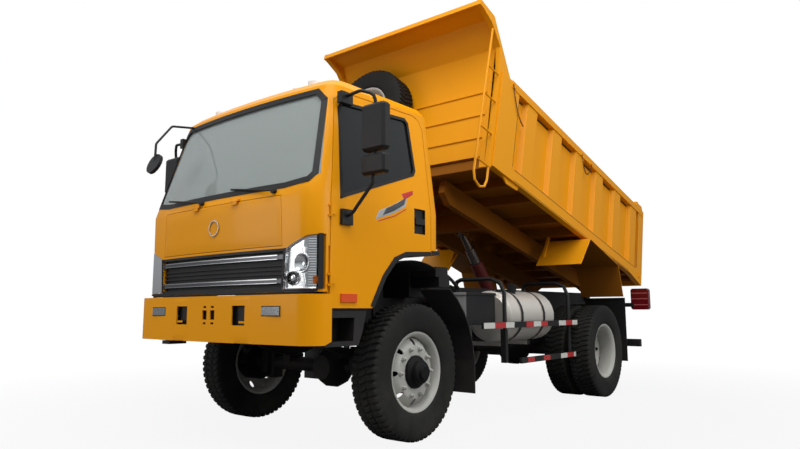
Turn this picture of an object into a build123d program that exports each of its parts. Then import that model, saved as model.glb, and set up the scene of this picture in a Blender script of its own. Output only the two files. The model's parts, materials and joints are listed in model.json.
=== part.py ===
from build123d import *
import os
from math import sin, cos, tan, radians, hypot

# Light four-wheel-drive tipping truck, cab over engine, bed raised part of the way.
# Millimetres. The truck faces -Y, its left side is at +X, the ground is at Z = 0.
# Sizes along Y are counted from the front axle. The finished pieces move back by
# ORIGIN_BACK so that the origin lies on the ground under the middle of the truck.

# Whole vehicle
WHEELBASE = 3130.0
ORIGIN_BACK = 1839.0
PIN_GAP = 0.3              # running clearance of pins, hubs and sliding tubes
SEAM = 6.0                 # gap round doors and lids
SEAT = 0.3                 # gap between neighbouring pieces that are bolted together

# Tyres 8.25-20 on 20 inch rims
TYRE_R = 487.0
TYRE_W = 236.0
TREAD_W = 196.0
TREAD_DEPTH = 14.0
BEAD_R = 262.0
RIM_FLANGE_R = 287.0
RIM_W = 196.0
RIM_WALL = 9.0
LIP = 18.0                 # slant of the rim's lips, along the axle
WELL_R = 252.0             # inside of the rim
WHEEL_SIDES = 24           # flats round a wheel, and tread lugs round a tyre
LUG_DEPTH = 26.0           # lug block, down into the tyre
LUG_SHARE = 0.62           # of a flat's width
FRONT_TRACK = 1738.0       # between the middles of the front tyres
TWIN_OUTER = 1138.0        # centreline to the outside of the twin tyres
TWIN_SPACING = 280.0
DISC_R = 150.0             # flat middle of the wheel disc
DISC_T = 12.0
DISH = 60.0                # how far the disc falls back to the rim
HAND_HOLES = 8
HAND_HOLE_AT = 205.0
HAND_HOLE_R = 24.0
NUT_CIRCLE_R = 110.0
NUTS = 10
DRUM_R = 158.0
HUB_BORE = 38.0

# Frame
RAIL_OUT = 420.0           # centreline to the outside of a rail
RAIL_FLANGE = 65.0
RAIL_H = 200.0
RAIL_T = 8.0
RAIL_Z = 830.0             # underside of the rails
RAIL_FRONT = -900.0
RAIL_REAR = 4400.0
SUBFRAME_H = 110.0

# Axles and steering
AXLE_R = 58.0
KINGPIN_X = 715.0
KINGPIN_R = 16.0
STEER_GAP = 6.0
SPRING_W = 70.0
SPRING_LEAF = 11.0

# Cab
CAB_HALF_W = 966.0
CAB_ROOF_HALF_W = 872.0
CAB_REAR = 292.0
CAB_NOSE = -1035.0         # front corners of the nose panel
CAB_BOTTOM = 1044.0        # lower edge of the nose
DOOR_BOTTOM = 942.0
BELT_Z = 1660.0
ROOF_EDGE_Z = 2455.0
ROOF_TOP_Z = 2545.0
CAB_SKIN = 42.0            # whole wall, outer and inner panels together
NOSE_BOW = 42.0            # how far the nose and windscreen bulge at the middle
GLASS_T = 6.0
GLASS_INSET = 10.0
FLOOR_T = 25.0
FOOT_FLOOR_Z = 1165.0
SEAT_FLOOR_Z = 1372.0
TILT_Y = -920.0            # cab tilt pivot
TILT_Z = 1140.0
TILT_PIN_R = 15.0

# Doors
DOOR_FRONT = -880.0
DOOR_REAR = 182.0
DOOR_DEPTH = 60.0
HINGE_X = 972.0
HINGE_R = 9.0

# Bed, in its own frame: s rearwards from the front wall, h up from the sill's underside
BED_HALF_W = 1020.0
BED_LENGTH = 3770.0
BED_SIDE_H = 957.0
SILL_H = 125.0
FLOOR_H = 110.0
BEAM_X = 350.0             # inside face of a longitudinal beam
BEAM_W = 70.0
BEAM_DEPTH = 205.0
TIP_S = BED_LENGTH - 320   # tipping hinge
TIP_H = -190.0
TIP_PIN_R = 22.0
BED_ANGLE = 13.7           # how far the bed is raised in the photograph's state
BED_FOOT_Y = 1025.0        # front lower corner of the raised bed
BED_FOOT_Z = 2183.0

# Hoist: two-stage cylinder between a frame crossmember and the bed
HOIST_Y = 2800.0
HOIST_Z = 900.0
HOIST_S = 1100.0
HOIST_H = -160.0
HOIST_PIN_R = 18.0
BARREL_R = 70.0
STAGE_R = 55.0
ROD_R = 40.0


def block(x0, x1, y0, y1, z0, z1):
    """A box between two corners."""
    return Pos((x0 + x1) / 2, (y0 + y1) / 2, (z0 + z1) / 2) * Box(abs(x1 - x0), abs(y1 - y0), abs(z1 - z0))


def outline(points):
    """A face from (u, v) corners in the local XY plane."""
    return make_face(Polyline(*points, close=True))


def across(points, x0, x1):
    """Side profile of (y, z) corners, pulled along X."""
    return extrude(Plane.YZ.offset(x0) * outline(points), x1 - x0)


def along(points, y0, y1):
    """Front profile of (x, z) corners, pulled along Y."""
    return extrude(Plane.XZ.offset(-y1) * outline(points), y1 - y0)


def upward(points, z0, z1):
    """Plan profile of (x, y) corners, pulled along Z."""
    return extrude(Plane.XY.offset(z0) * outline(points), z1 - z0)


def bar(start, end, radius):
    """Round bar between two points, for pins, spindles and their holes."""
    axis = Vector(*end) - Vector(*start)
    return extrude(Plane(origin=start, z_dir=axis) * Circle(radius), axis.length)


def spar(start, end, radius, sides=8):
    """Bar with flat sides between two points."""
    axis = Vector(*end) - Vector(*start)
    return extrude(Plane(origin=start, z_dir=axis) * RegularPolygon(radius, sides), axis.length)


def softened(points, bends):
    """A polyline with each corner replaced by the ends and the middle of its bend."""
    path = [Vector(*points[0])]
    for before, corner, after, bend in zip(points, points[1:], points[2:], bends):
        corner = Vector(*corner)
        u = (Vector(*before) - corner).normalized()
        v = (Vector(*after) - corner).normalized()
        half = radians(u.get_angle(v)) / 2
        middle = corner + (u + v).normalized() * (bend / sin(half) - bend)
        path += [corner + u * (bend / tan(half)), middle, corner + v * (bend / tan(half))]
    return path + [Vector(*points[-1])]


def pipe(points, radius, bends):
    """Tube with eight flat sides, drawn solid; bends lists the radius at each corner."""
    path = Polyline(*softened(points, bends))
    start = Plane(origin=path @ 0, z_dir=path % 0)
    return sweep(start * RegularPolygon(radius, 8), path=path, transition=Transition.RIGHT)


def flat_turned(profile, sides=WHEEL_SIDES):
    """Turned shape about X with flat sides, from (radius, x) corners that go once round."""
    angles = [radians((i + 0.5) * 360 / sides) for i in range(sides)]
    faces = []
    for (r0, x0), (r1, x1) in zip(profile, profile[1:] + profile[:1]):
        p = [Vector(x0, r0 * sin(a), r0 * cos(a)) for a in angles]
        q = [Vector(x1, r1 * sin(a), r1 * cos(a)) for a in angles]
        if r0 and r1:
            faces += [Face(Wire.make_polygon([p[i - 1], p[i], q[i], q[i - 1]])) for i in range(sides)]
        elif r0 or r1:
            faces.append(Face(Wire.make_polygon(p if r0 else q)))
    return Solid(Shell(faces))


def lengthways(shape, x, z):
    """A shape turned from X to Y, its axis at x and z."""
    return Pos(x, 0, z) * Rot(0, 0, 90) * shape


def mirrored(shape):
    return mirror(shape, Plane.YZ)


def round_x(shape, count):
    """Copies of a shape, evenly round the X axis."""
    return [Rot(i * 360 / count, 0, 0) * shape for i in range(count)]


def both(shape):
    """A piece and its mirror image on the other side of the truck."""
    return [shape, mirrored(shape)]


def solids(*items):
    """All solids of the given shapes, as one flat list."""
    found = []
    for item in items:
        if isinstance(item, (list, tuple)):
            found += solids(*item)
        else:
            found += list(item.solids())
    return found


def kept(shape):
    return shape


SIDES = {"left": kept, "right": mirrored}
NODES = {}


def node(name, *items):
    """Keeps the solids of one sub-part under its name."""
    NODES[name] = solids(*items)


# Wheels

def tyre(middle_x):
    """Tyre about the X axis, out to the lugs' tips, with grooves between the lugs."""
    half = TYRE_W / 2
    tread = TREAD_W / 2
    base = TYRE_R - TREAD_DEPTH
    seat = RIM_W / 2 - LIP - 1
    side = [(BEAD_R, seat), (RIM_FLANGE_R + 2, RIM_W / 2 - 1), (TYRE_R - 107, half), (base, tread)]
    body = flat_turned([(r, -x) for r, x in side] + side[::-1])
    width = TYRE_R * radians(360 / WHEEL_SIDES) * LUG_SHARE
    lugs = []
    for i in range(WHEEL_SIDES):
        out = 1 if i % 2 else -1
        lug = block(out * tread, -out * tread * 0.15, -width / 2, width / 2, TYRE_R - LUG_DEPTH, TYRE_R)
        lugs.append(Rot(i * 360 / WHEEL_SIDES, 0, 0) * lug)
    return Pos(middle_x, 0, 0) * (body + lugs)


def rim(disc_at):
    """Dished steel wheel about X; its disc stands disc_at outside the middle of the tyre."""
    d = disc_at
    half = RIM_W / 2
    wheel = flat_turned([(RIM_FLANGE_R, -half), (BEAD_R - SEAT, LIP - half), (BEAD_R - SEAT, half - LIP),
                         (RIM_FLANGE_R, half), (WELL_R, half), (WELL_R, d - DISH), (DISC_R, d), (0, d),
                         (0, d - DISC_T), (DISC_R - 6, d - DISC_T), (WELL_R, d - DISH - DISC_T - 2),
                         (WELL_R, -half)])
    hole = spar((d - DISH - DISC_T, 0, HAND_HOLE_AT), (d + 10, 0, HAND_HOLE_AT), HAND_HOLE_R, 6)
    return wheel - round_x(hole, HAND_HOLES)


def hub(face_x, nut_x, length, radius, cap_radius, cap_length):
    """Brake drum and hub about X, from inside the wheel to its cap, with a ring of nuts."""
    f = face_x
    shape = flat_turned([(DRUM_R, f - length), (DRUM_R, f - 16), (NUT_CIRCLE_R, f), (radius + 8, f),
                         (radius, nut_x + 20), (cap_radius, nut_x + cap_length), (0, nut_x + cap_length),
                         (0, f - length)], 16)
    shape -= bar((f - length - 1, 0, 0), (f - 60, 0, 0), HUB_BORE)
    nut = spar((nut_x - 4, 0, NUT_CIRCLE_R), (nut_x + 22, 0, NUT_CIRCLE_R), 15, 6)
    return shape + round_x(nut, NUTS)


FRONT_MID = FRONT_TRACK / 2
FRONT_DISC = 78.0
FRONT_FACE = FRONT_MID + FRONT_DISC - DISC_T / 2
FRONT_HUB_L = 150.0
TWIN_MID_OUT = TWIN_OUTER - TYRE_W / 2
TWIN_MID_IN = TWIN_MID_OUT - TWIN_SPACING
TWIN_DISC_X = (TWIN_MID_OUT + TWIN_MID_IN) / 2
TWIN_SINK = 3.0            # the twin wheels' discs meet and are joined over this depth
REAR_FACE = TWIN_DISC_X - DISC_T / 2
REAR_HUB_L = 190.0
AXLE_UP = Pos(0, 0, TYRE_R)
REAR_UP = Pos(0, WHEELBASE, TYRE_R)

front_tyre = AXLE_UP * tyre(FRONT_MID)
front_wheel = Pos(FRONT_MID, 0, 0) * rim(FRONT_DISC)
front_wheel += hub(FRONT_FACE, FRONT_MID + FRONT_DISC, FRONT_HUB_L, 70, 48, 96)
front_wheel = AXLE_UP * front_wheel

# The outer twin is dished inwards and the inner one outwards, disc to disc.
twin = rim(TWIN_SPACING / 2 + TWIN_SINK)
rear_wheels = Pos(TWIN_MID_OUT, 0, 0) * mirrored(twin) + Pos(TWIN_MID_IN, 0, 0) * twin
rear_wheels += hub(REAR_FACE, TWIN_DISC_X + DISC_T - TWIN_SINK, REAR_HUB_L, 74, 56, 70)
rear_wheels = REAR_UP * rear_wheels
rear_tyres = [REAR_UP * tyre(TWIN_MID_OUT), REAR_UP * tyre(TWIN_MID_IN)]

for name, turn in SIDES.items():
    node("front_tyre_" + name, turn(front_tyre))
    node("front_rim_" + name, turn(front_wheel))
    node("rear_tyres_" + name, [turn(t) for t in rear_tyres])
    node("rear_rims_" + name, turn(rear_wheels))

# Frame: two channel rails, tubular crossmembers and the subframe that carries the bed

RAIL_TOP = RAIL_Z + RAIL_H
rail = across([(RAIL_FRONT, RAIL_Z), (RAIL_REAR, RAIL_Z), (RAIL_REAR, RAIL_TOP),
               (RAIL_FRONT, RAIL_TOP)], RAIL_OUT - RAIL_FLANGE, RAIL_OUT)
rail -= block(0, RAIL_OUT - RAIL_T, RAIL_FRONT - 1, RAIL_REAR + 1, RAIL_Z + RAIL_T, RAIL_TOP - RAIL_T)
node("frame_rails", both(rail))

# crossmember: y of its middle, height of its middle, radius
CROSSMEMBERS = [(-850, 910, 42), (1190, 982, 36), (1750, 930, 42), (HOIST_Y, HOIST_Z, 52),
                (3560, 930, 42), (4320, 930, 42)]
INSIDE_WEB = RAIL_OUT - RAIL_T - SEAT
cross = []
for y, z, r in CROSSMEMBERS:
    tube = spar((-INSIDE_WEB, y, z), (INSIDE_WEB, y, z), r)
    if y == HOIST_Y:
        tube -= block(-BARREL_R - 6, BARREL_R + 6, y - 80, y + 80, z - 80, z + 80)
        ears = [block(s * (BARREL_R + 6), s * (BARREL_R + 26), y - 60, y + 60, z - 60, z + 60)
                for s in (1, -1)]
        cross += solids((tube + ears) - bar((-98, y, z), (98, y, z), HOIST_PIN_R + PIN_GAP))
    else:
        cross += solids(tube)
node("frame_crossmembers", cross)

SUB_Z0 = RAIL_TOP + SEAT
SUB_Z1 = RAIL_TOP + SUBFRAME_H
SUB_FRONT = 640.0
TIP_Y = BED_FOOT_Y + TIP_S * cos(radians(BED_ANGLE)) + TIP_H * sin(radians(BED_ANGLE))
TIP_Z = BED_FOOT_Z - TIP_S * sin(radians(BED_ANGLE)) + TIP_H * cos(radians(BED_ANGLE))
sub_rail = across([(SUB_FRONT, SUB_Z0), (RAIL_REAR, SUB_Z0), (RAIL_REAR, SUB_Z1 - 90),
                   (TIP_Y - 20, SUB_Z1), (SUB_FRONT + 160, SUB_Z1)], RAIL_OUT - RAIL_FLANGE, RAIL_OUT)
hinge_lug = across([(TIP_Y - 90, SUB_Z1 - 100), (TIP_Y + 40, SUB_Z1 - 100), (TIP_Y + 40, TIP_Z + 38),
                    (TIP_Y - 40, TIP_Z + 38), (TIP_Y - 90, SUB_Z1)], BEAM_X + BEAM_W + 6, BEAM_X + BEAM_W + 28)
hinge_lug += block(RAIL_OUT - 2, BEAM_X + BEAM_W + 28, TIP_Y - 90, TIP_Y + 40, SUB_Z1 - 100, SUB_Z1 - 45)
tip_hole = bar((0, TIP_Y, TIP_Z), (600, TIP_Y, TIP_Z), TIP_PIN_R + PIN_GAP)
sub_cross = [block(-RAIL_OUT + RAIL_FLANGE - 1, RAIL_OUT - RAIL_FLANGE + 1, y - 30, y + 30,
                   SUB_Z0 + 10, SUB_Z1 - 20) for y in (860, 1900, 4240)]
half_sub = sub_rail + hinge_lug - tip_hole
node("subframe", half_sub + mirrored(half_sub) + sub_cross)

# Front axle with steering yokes, rear axle, springs

FRONT_DIFF_X = 130.0
YOKE_HALF_H = 105.0
YOKE_T = 24.0
yoke = block(555, 590, -48, 48, TYRE_R - YOKE_HALF_H - YOKE_T, TYRE_R + YOKE_HALF_H + YOKE_T)
for s in (1, -1):
    z0 = TYRE_R + s * YOKE_HALF_H
    yoke += block(555, KINGPIN_X, -48, 48, z0, z0 + s * YOKE_T)
    yoke += spar((KINGPIN_X, 0, z0), (KINGPIN_X, 0, z0 + s * YOKE_T), 48, 12)
yoke -= bar((KINGPIN_X, 0, 200), (KINGPIN_X, 0, 800), KINGPIN_R + PIN_GAP)
front_beam = spar((-560, 0, TYRE_R), (560, 0, TYRE_R), AXLE_R, 10)
front_diff = lengthways(flat_turned([(0, -150), (95, -150), (155, -60), (165, 0), (150, 60), (90, 100),
                                     (0, 100)], 14), FRONT_DIFF_X, TYRE_R)
front_seats = [block(s * 344, s * 426, -60, 60, TYRE_R, TYRE_R + AXLE_R + 14) for s in (1, -1)]
node("front_axle", front_beam + front_diff + yoke + mirrored(yoke) + front_seats)

REAR_TUBE_END = REAR_FACE - REAR_HUB_L - 10
rear_beam = spar((-REAR_TUBE_END, WHEELBASE, TYRE_R), (REAR_TUBE_END, WHEELBASE, TYRE_R), AXLE_R + 8, 10)
SPINDLE_END = REAR_FACE - 60 - 8
rear_spindle = bar((-SPINDLE_END, WHEELBASE, TYRE_R), (SPINDLE_END, WHEELBASE, TYRE_R), HUB_BORE - PIN_GAP)
rear_diff = lengthways(flat_turned([(0, WHEELBASE - 230), (75, WHEELBASE - 230), (110, WHEELBASE - 170),
                                    (190, WHEELBASE - 60), (200, WHEELBASE + 20), (160, WHEELBASE + 110),
                                    (70, WHEELBASE + 150), (0, WHEELBASE + 150)], 14), 0, TYRE_R)
rear_seats = [block(s * 344, s * 426, WHEELBASE - 70, WHEELBASE + 70, TYRE_R, TYRE_R + AXLE_R + 22)
              for s in (1, -1)]
node("rear_axle", rear_beam + rear_spindle + rear_diff + rear_seats)


def leaf_spring(axle_y, seat_z, half_length, leaves):
    """Leaf pack that sags to its seat in the middle, with a hanger at each end."""
    x0 = RAIL_OUT - SPRING_W + 5
    x1 = RAIL_OUT + 5
    eye_z = RAIL_Z - 42
    thick = leaves * SPRING_LEAF
    mid = seat_z + SEAT
    rise = eye_z - 12 - mid
    sag = [(t, mid + rise * t * t) for t in (-1, -0.6, -0.2, 0.2, 0.6, 1)]
    lower = [(axle_y + t * half_length, z) for t, z in sag]
    upper = [(y, z + 24 + (thick - 24) * (1 - abs(y - axle_y) / half_length)) for y, z in lower]
    pack = across(lower + upper[::-1], x0, x1)
    for s in (1, -1):
        y = axle_y + s * half_length
        pack += spar((x0, y, eye_z), (x1, y, eye_z), 24)
        pack += across([(y - 40, RAIL_Z - SEAT), (y + 40, RAIL_Z - SEAT), (y + 16, eye_z - 12),
                        (y - 16, eye_z - 12)], x0, x0 + 14)
    clamps = [block(x0 - 6, x1 + 6, axle_y + s * 45 - 8, axle_y + s * 45 + 8,
                    mid + 2, mid + thick + 14) for s in (1, -1)]
    return pack + clamps


front_spring = leaf_spring(0, TYRE_R + AXLE_R + 14, 560, 7)
rear_spring = leaf_spring(WHEELBASE, TYRE_R + AXLE_R + 22, 640, 9)
node("leaf_springs", both(front_spring), both(rear_spring))

# Steering knuckles: kingpins in the yoke, spindle into the hub
KNUCKLE_TOP = YOKE_HALF_H - STEER_GAP
knuckle = spar((KINGPIN_X, 0, TYRE_R - KNUCKLE_TOP), (KINGPIN_X, 0, TYRE_R + KNUCKLE_TOP), 46, 12)
knuckle += bar((KINGPIN_X, 0, TYRE_R - YOKE_HALF_H - YOKE_T), (KINGPIN_X, 0, TYRE_R + YOKE_HALF_H + YOKE_T),
               KINGPIN_R)
HUB_INSIDE = FRONT_FACE - FRONT_HUB_L
knuckle += spar((KINGPIN_X, 0, TYRE_R), (HUB_INSIDE - 8, 0, TYRE_R), 70, 12)
knuckle += bar((KINGPIN_X, 0, TYRE_R), (HUB_INSIDE + 82, 0, TYRE_R), HUB_BORE - PIN_GAP)
knuckle += across([(40, TYRE_R - 60), (190, TYRE_R - 70), (190, TYRE_R - 40), (40, TYRE_R - 20)],
                  KINGPIN_X - 50, KINGPIN_X - 20)
node("knuckle_left", knuckle)
node("knuckle_right", mirrored(knuckle))

# Engine, gearbox and drive
engine = across([(-690, 725), (420, 725), (420, 1120), (-690, 1120)], -265, 265)
gearbox = across([(420, 760), (1080, 790), (1080, 1000), (420, 1060)], -170, 170)

TRANSFER_Y = 1430.0
transfer = across([(TRANSFER_Y - 130, 560), (TRANSFER_Y + 130, 560), (TRANSFER_Y + 130, 960),
                   (TRANSFER_Y - 130, 960)], -60, 210)
transfer += block(-INSIDE_WEB, INSIDE_WEB, TRANSFER_Y - 40, TRANSFER_Y + 40, 960, 985)
shaft_in = spar((0, 1080 + SEAT, 890), (0, TRANSFER_Y - 130, 890), 40)
shaft_rear = spar((0, TRANSFER_Y + 130, 700), (0, WHEELBASE - 240, TYRE_R + 6), 40)
shaft_front = spar((FRONT_DIFF_X, TRANSFER_Y - 130, 620), (FRONT_DIFF_X, 108, TYRE_R + 4), 34)
node("drivetrain", engine + gearbox, transfer + shaft_in + shaft_rear + shaft_front)

# Fuel tank on its brackets, left side
TANK_X = 745.0
TANK_Z = 872.0
TANK_R = 232.0
TANK_Y0 = 1345.0
TANK_Y1 = WHEELBASE - 895
tank = lengthways(flat_turned([(0, TANK_Y0), (TANK_R - 40, TANK_Y0), (TANK_R, TANK_Y0 + 26),
                               (TANK_R, TANK_Y1 - 26), (TANK_R - 40, TANK_Y1), (0, TANK_Y1)]), TANK_X, TANK_Z)
tank += spar((TANK_X + 20, TANK_Y0 + 300, TANK_Z), (TANK_X + 90, TANK_Y0 + 300, TANK_Z + TANK_R + 62), 46)
# strap: y of its middle
TANK_STRAPS = [TANK_Y0 + 210, TANK_Y0 + 640]
straps = []
for y in TANK_STRAPS:
    band = lengthways(flat_turned([(TANK_R + SEAT, y - 24), (TANK_R + 8, y - 24), (TANK_R + 8, y + 24),
                                   (TANK_R + SEAT, y + 24)]), TANK_X, TANK_Z)
    arm = block(RAIL_OUT + SEAT, RAIL_OUT + 30, y - 30, y + 30, TANK_Z - TANK_R - 40, RAIL_TOP - 20)
    arm += block(RAIL_OUT + SEAT, TANK_X + 60, y - 30, y + 30, TANK_Z - TANK_R - 46, TANK_Z - TANK_R - 6)
    arm -= spar((TANK_X, y - 35, TANK_Z), (TANK_X, y + 35, TANK_Z), TANK_R + 4, WHEEL_SIDES)
    straps.append(band + arm)
node("fuel_tank", tank, straps)

# Battery box on the left, air tanks on the right
battery = block(540, 905, 745, 1205, 800, 1052) - block(560, 885, 765, 1185, 820, 1060)
battery += block(532, 913, 737, 1213, 1052, 1074)
battery += block(RAIL_OUT + SEAT, 545, 790, 850, 860, 1000)
battery += block(RAIL_OUT + SEAT, 545, 1100, 1160, 860, 1000)
node("battery_box", battery)

DRUM_X = -600.0
drums = [lengthways(flat_turned([(0, 1400), (80, 1400), (108, 1430), (108, 2070), (80, 2100), (0, 2100)], 16),
                    DRUM_X, z) for z in (900, 690)]
hangers = [block(-RAIL_OUT - SEAT, -RAIL_OUT - 24, y - 25, y + 25, 600, 1000)
           + block(-RAIL_OUT - SEAT, DRUM_X - 10, y - 25, y + 25, 775, 812) for y in (1550, 1950)]
node("air_tanks", drums[0] + drums[1] + hangers)

# Side guards: two tube hoops from the frame and two flat bars, on each side
GUARD_X = 990.0
HOOP_R = 19.0
HOOP_Z = 1205.0
# hoop: y, height of its lower end
HOOPS = [(1262, 742), (WHEELBASE - 570, 452)]
# bar: y of its ends, height of its middle, its height
GUARD_BARS = [(850, WHEELBASE - 440, 797, 52), (1480, WHEELBASE - 502, 476, 50)]
guard = []
for y, low in HOOPS:
    hoop = pipe([(RAIL_OUT + 30, y, RAIL_TOP - 60), (RAIL_OUT + 30, y, HOOP_Z), (GUARD_X - 24, y, HOOP_Z),
                 (GUARD_X - 24, y, low)], HOOP_R, [60, 130])
    hoop += block(RAIL_OUT + SEAT, RAIL_OUT + 30, y - 40, y + 40, RAIL_TOP - 90, RAIL_TOP - 20)
    guard.append(hoop)
stay = block(GUARD_X - 60, GUARD_X - 8, 1262 - 20, 1262 + 20, 470, 760)
guard.append(stay)
for y0, y1, z, h in GUARD_BARS:
    guard.append(block(GUARD_X - 8, GUARD_X + 16, y0, y1, z - h / 2, z + h / 2))
side_guard = guard[0]
for piece in guard[1:]:
    side_guard += piece
node("side_guards", both(side_guard))

# Front mudguards behind the steered wheels, with flaps, and steps ahead of them
MUD_R = 705.0
MUD_X0 = 705.0
MUD_X1 = 1000.0


def arc_sheet(radius, thick, a0, a1, x0, x1, z_mid):
    """Part of a cylinder wall about the front axle, from angle a0 to a1 above the level."""
    angles = [radians(a0 + (a1 - a0) * i / 5) for i in range(6)]
    inside = [(radius * cos(a), z_mid + radius * sin(a)) for a in angles]
    outside = [((radius + thick) * cos(a), z_mid + (radius + thick) * sin(a)) for a in angles]
    return across(inside + outside[::-1], x0, x1)


mudguard = arc_sheet(MUD_R, 10, 4, 58, MUD_X0, MUD_X1, TYRE_R)
mudguard += block(MUD_X0, MUD_X1, MUD_R, MUD_R + 10, 268, TYRE_R + 60)
mudguard += spar((RAIL_OUT + SEAT, 600, 890), (MUD_X0 + 30, 600, 890), 16)
mudguard += block(MUD_X0, MUD_X0 + 60, 560, 640, 872, 900)
node("front_mudguards", both(mudguard))

step = across([(-905, 700), (-600, 700), (-560, 790), (-520, 925), (-905, 925)], 760, 948)
step -= across([(-850, 730), (-650, 730), (-640, 880), (-850, 880)], 800, 960)
step += spar((RAIL_OUT + SEAT, -800, 850), (770, -800, 850), 22)
node("entry_steps", both(step))

# Bumper: thin bent skin with two openings and slots, carried by two brackets
BUMPER_TOP = 1029.0
BUMPER_LOW = 716.0
BUMPER_Y = -1090.0
BUMPER_HALF_W = 1008.0
BUMPER_SKIN = 9.0


def bumper_plan(inset):
    """Plan of the bumper: bowed front, rounded ends that turn back."""
    w = BUMPER_HALF_W - inset
    y = BUMPER_Y + inset
    corner = 150 - inset
    back = -905.0
    left = [Edge.make_line((w, back, 0), (w, y + corner + 10, 0)),
            Edge.make_three_point_arc((w, y + corner + 10, 0),
                                      (w - corner * 0.293, y + 10 + corner * 0.293, 0),
                                      (w - corner, y + 10, 0))]
    front = Edge.make_three_point_arc((w - corner, y + 10, 0), (0, y - 14, 0), (-w + corner, y + 10, 0))
    right = [Edge.make_three_point_arc((-w + corner, y + 10, 0),
                                       (-w + corner * 0.293, y + 10 + corner * 0.293, 0),
                                       (-w, y + corner + 10, 0)),
             Edge.make_line((-w, y + corner + 10, 0), (-w, back, 0))]
    return make_face(left + [front] + right + [Edge.make_line((-w, back, 0), (w, back, 0))])


bumper = extrude(Pos(0, 0, BUMPER_LOW) * bumper_plan(0), BUMPER_TOP - BUMPER_LOW)
bumper -= extrude(Pos(0, 0, BUMPER_LOW - 1) * bumper_plan(BUMPER_SKIN), BUMPER_TOP - BUMPER_LOW + 2)
bumper -= across([(-1200, 700), (-880, 700), (-880, 750), (-960, 716)], -1100, 1100)
# openings, left half: x0, x1, z0, z1
BUMPER_HOLES = [(262, 398, 832, 962), (560, 742, 892, 958)]
for x0, x1, z0, z1 in BUMPER_HOLES:
    bumper -= [block(s * x0, s * x1, -1200, -1000, z0, z1) for s in (1, -1)]
for x in (-45, 45):
    bumper -= block(x - 26, x + 26, -1200, -1000, 868, 932)
    bumper -= [block(x - 17, x + 17, -1200, -1000, z, z + 14) for z in (836, 948)]
bumper += [block(s * 330, s * 420, -1094, RAIL_FRONT - SEAT, 846, 860) + block(s * 330, s * 420,
           RAIL_FRONT - 14, RAIL_FRONT - SEAT, RAIL_Z, RAIL_TOP - 10) for s in (1, -1)]
bumper = bumper - [block(s * 300, s * 440, -1300, -1094, 700, 1000) for s in (1, -1)]

fog = block(560 + SEAT, 742 - SEAT, -1092, -1030, 892 + SEAT, 958 - SEAT)
fog += block(620, 680, -1031, -1000, 900, 950)
node("fog_lamps", both(fog))

TOW_X = 590.0
tow = across([(-1062, 684), (-920, 684), (-920, 710), (-1062, 710)], -TOW_X - 50, -TOW_X + 50)
tow -= Pos(-TOW_X, -1020, 697) * Cylinder(20, 60)
tow += across([(-960, 700), (-920, 700), (-920, 850), (-945, 850)], -TOW_X - 12, -TOW_X + 12)
tow += block(-TOW_X - 12, -RAIL_OUT + 10, -945, RAIL_FRONT - 2, 838, 900)
node("bumper", bumper + tow)


# Cab: one hollow form, cut into shell, lid, doors and glass where the real panels meet

# section: height, half width, y of the front corners, y of the rear, front and rear corner radius
CAB_SECTIONS = [(DOOR_BOTTOM, CAB_HALF_W - 6, CAB_NOSE + 6, CAB_REAR, 135, 60),
                (BELT_Z, CAB_HALF_W, CAB_NOSE, CAB_REAR, 135, 60),
                (ROOF_EDGE_Z, CAB_ROOF_HALF_W, -800, CAB_REAR - 10, 110, 60),
                (ROOF_EDGE_Z + 55, CAB_ROOF_HALF_W - 42, -735, CAB_REAR - 38, 100, 60),
                (ROOF_TOP_Z, CAB_ROOF_HALF_W - 150, -600, CAB_REAR - 130, 90, 60)]


NOSE_FLATS = 8             # flats across the bowed nose and windscreen
FRONT_FLATS = 4            # flats round a front corner
REAR_FLATS = 2


def corner(x, y, radius, start, count):
    """Points of a quarter circle that begins at an angle in degrees."""
    angles = [radians(start + 90 * i / count) for i in range(count + 1)]
    return [(x + radius * cos(a), y + radius * sin(a)) for a in angles]


def cab_ring(z, w, front, rear, rf, rr, inset):
    """Level outline of the cab: bowed front, rounded corners."""
    w, front, rear = w - inset, front + inset, rear - inset
    rf, rr = rf - inset, max(rr - inset, 12)
    half = w - rf
    xs = [-half + 2 * half * i / NOSE_FLATS for i in range(1, NOSE_FLATS)]
    nose = [(x, front - NOSE_BOW * (1 - (x / half) ** 2)) for x in xs]
    points = (corner(w - rr, rear - rr, rr, 0, REAR_FLATS) + corner(-w + rr, rear - rr, rr, 90, REAR_FLATS)
              + corner(-w + rf, front + rf, rf, 180, FRONT_FLATS) + nose
              + corner(w - rf, front + rf, rf, 270, FRONT_FLATS))
    return [Vector(x, y, z) for x, y in points]


def flat_sheet(a, b, c, d):
    """One face on four corners that lie in a plane, else two."""
    if abs((b - a).cross(c - a).normalized().dot(d - a)) < 1e-4:
        return [Face(Wire.make_polygon([a, b, c, d]))]
    return [Face(Wire.make_polygon([a, b, c])), Face(Wire.make_polygon([a, c, d]))]


def cab_form(inset):
    """The cab's outside moved inwards by inset, as one solid with flat faces."""
    rings = []
    for i, (z, w, front, rear, rf, rr) in enumerate(CAB_SECTIONS):
        lower = (inset * 2, 0, inset, inset, inset)[i]
        rings.append(cab_ring(z - lower, w, front, rear, rf, rr, inset))
    faces = [Face(Wire.make_polygon(rings[0])), Face(Wire.make_polygon(rings[-1]))]
    for p, q in zip(rings, rings[1:]):
        for i in range(len(p)):
            faces += flat_sheet(p[i - 1], p[i], q[i], q[i - 1])
    return Solid(Shell(faces))


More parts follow.
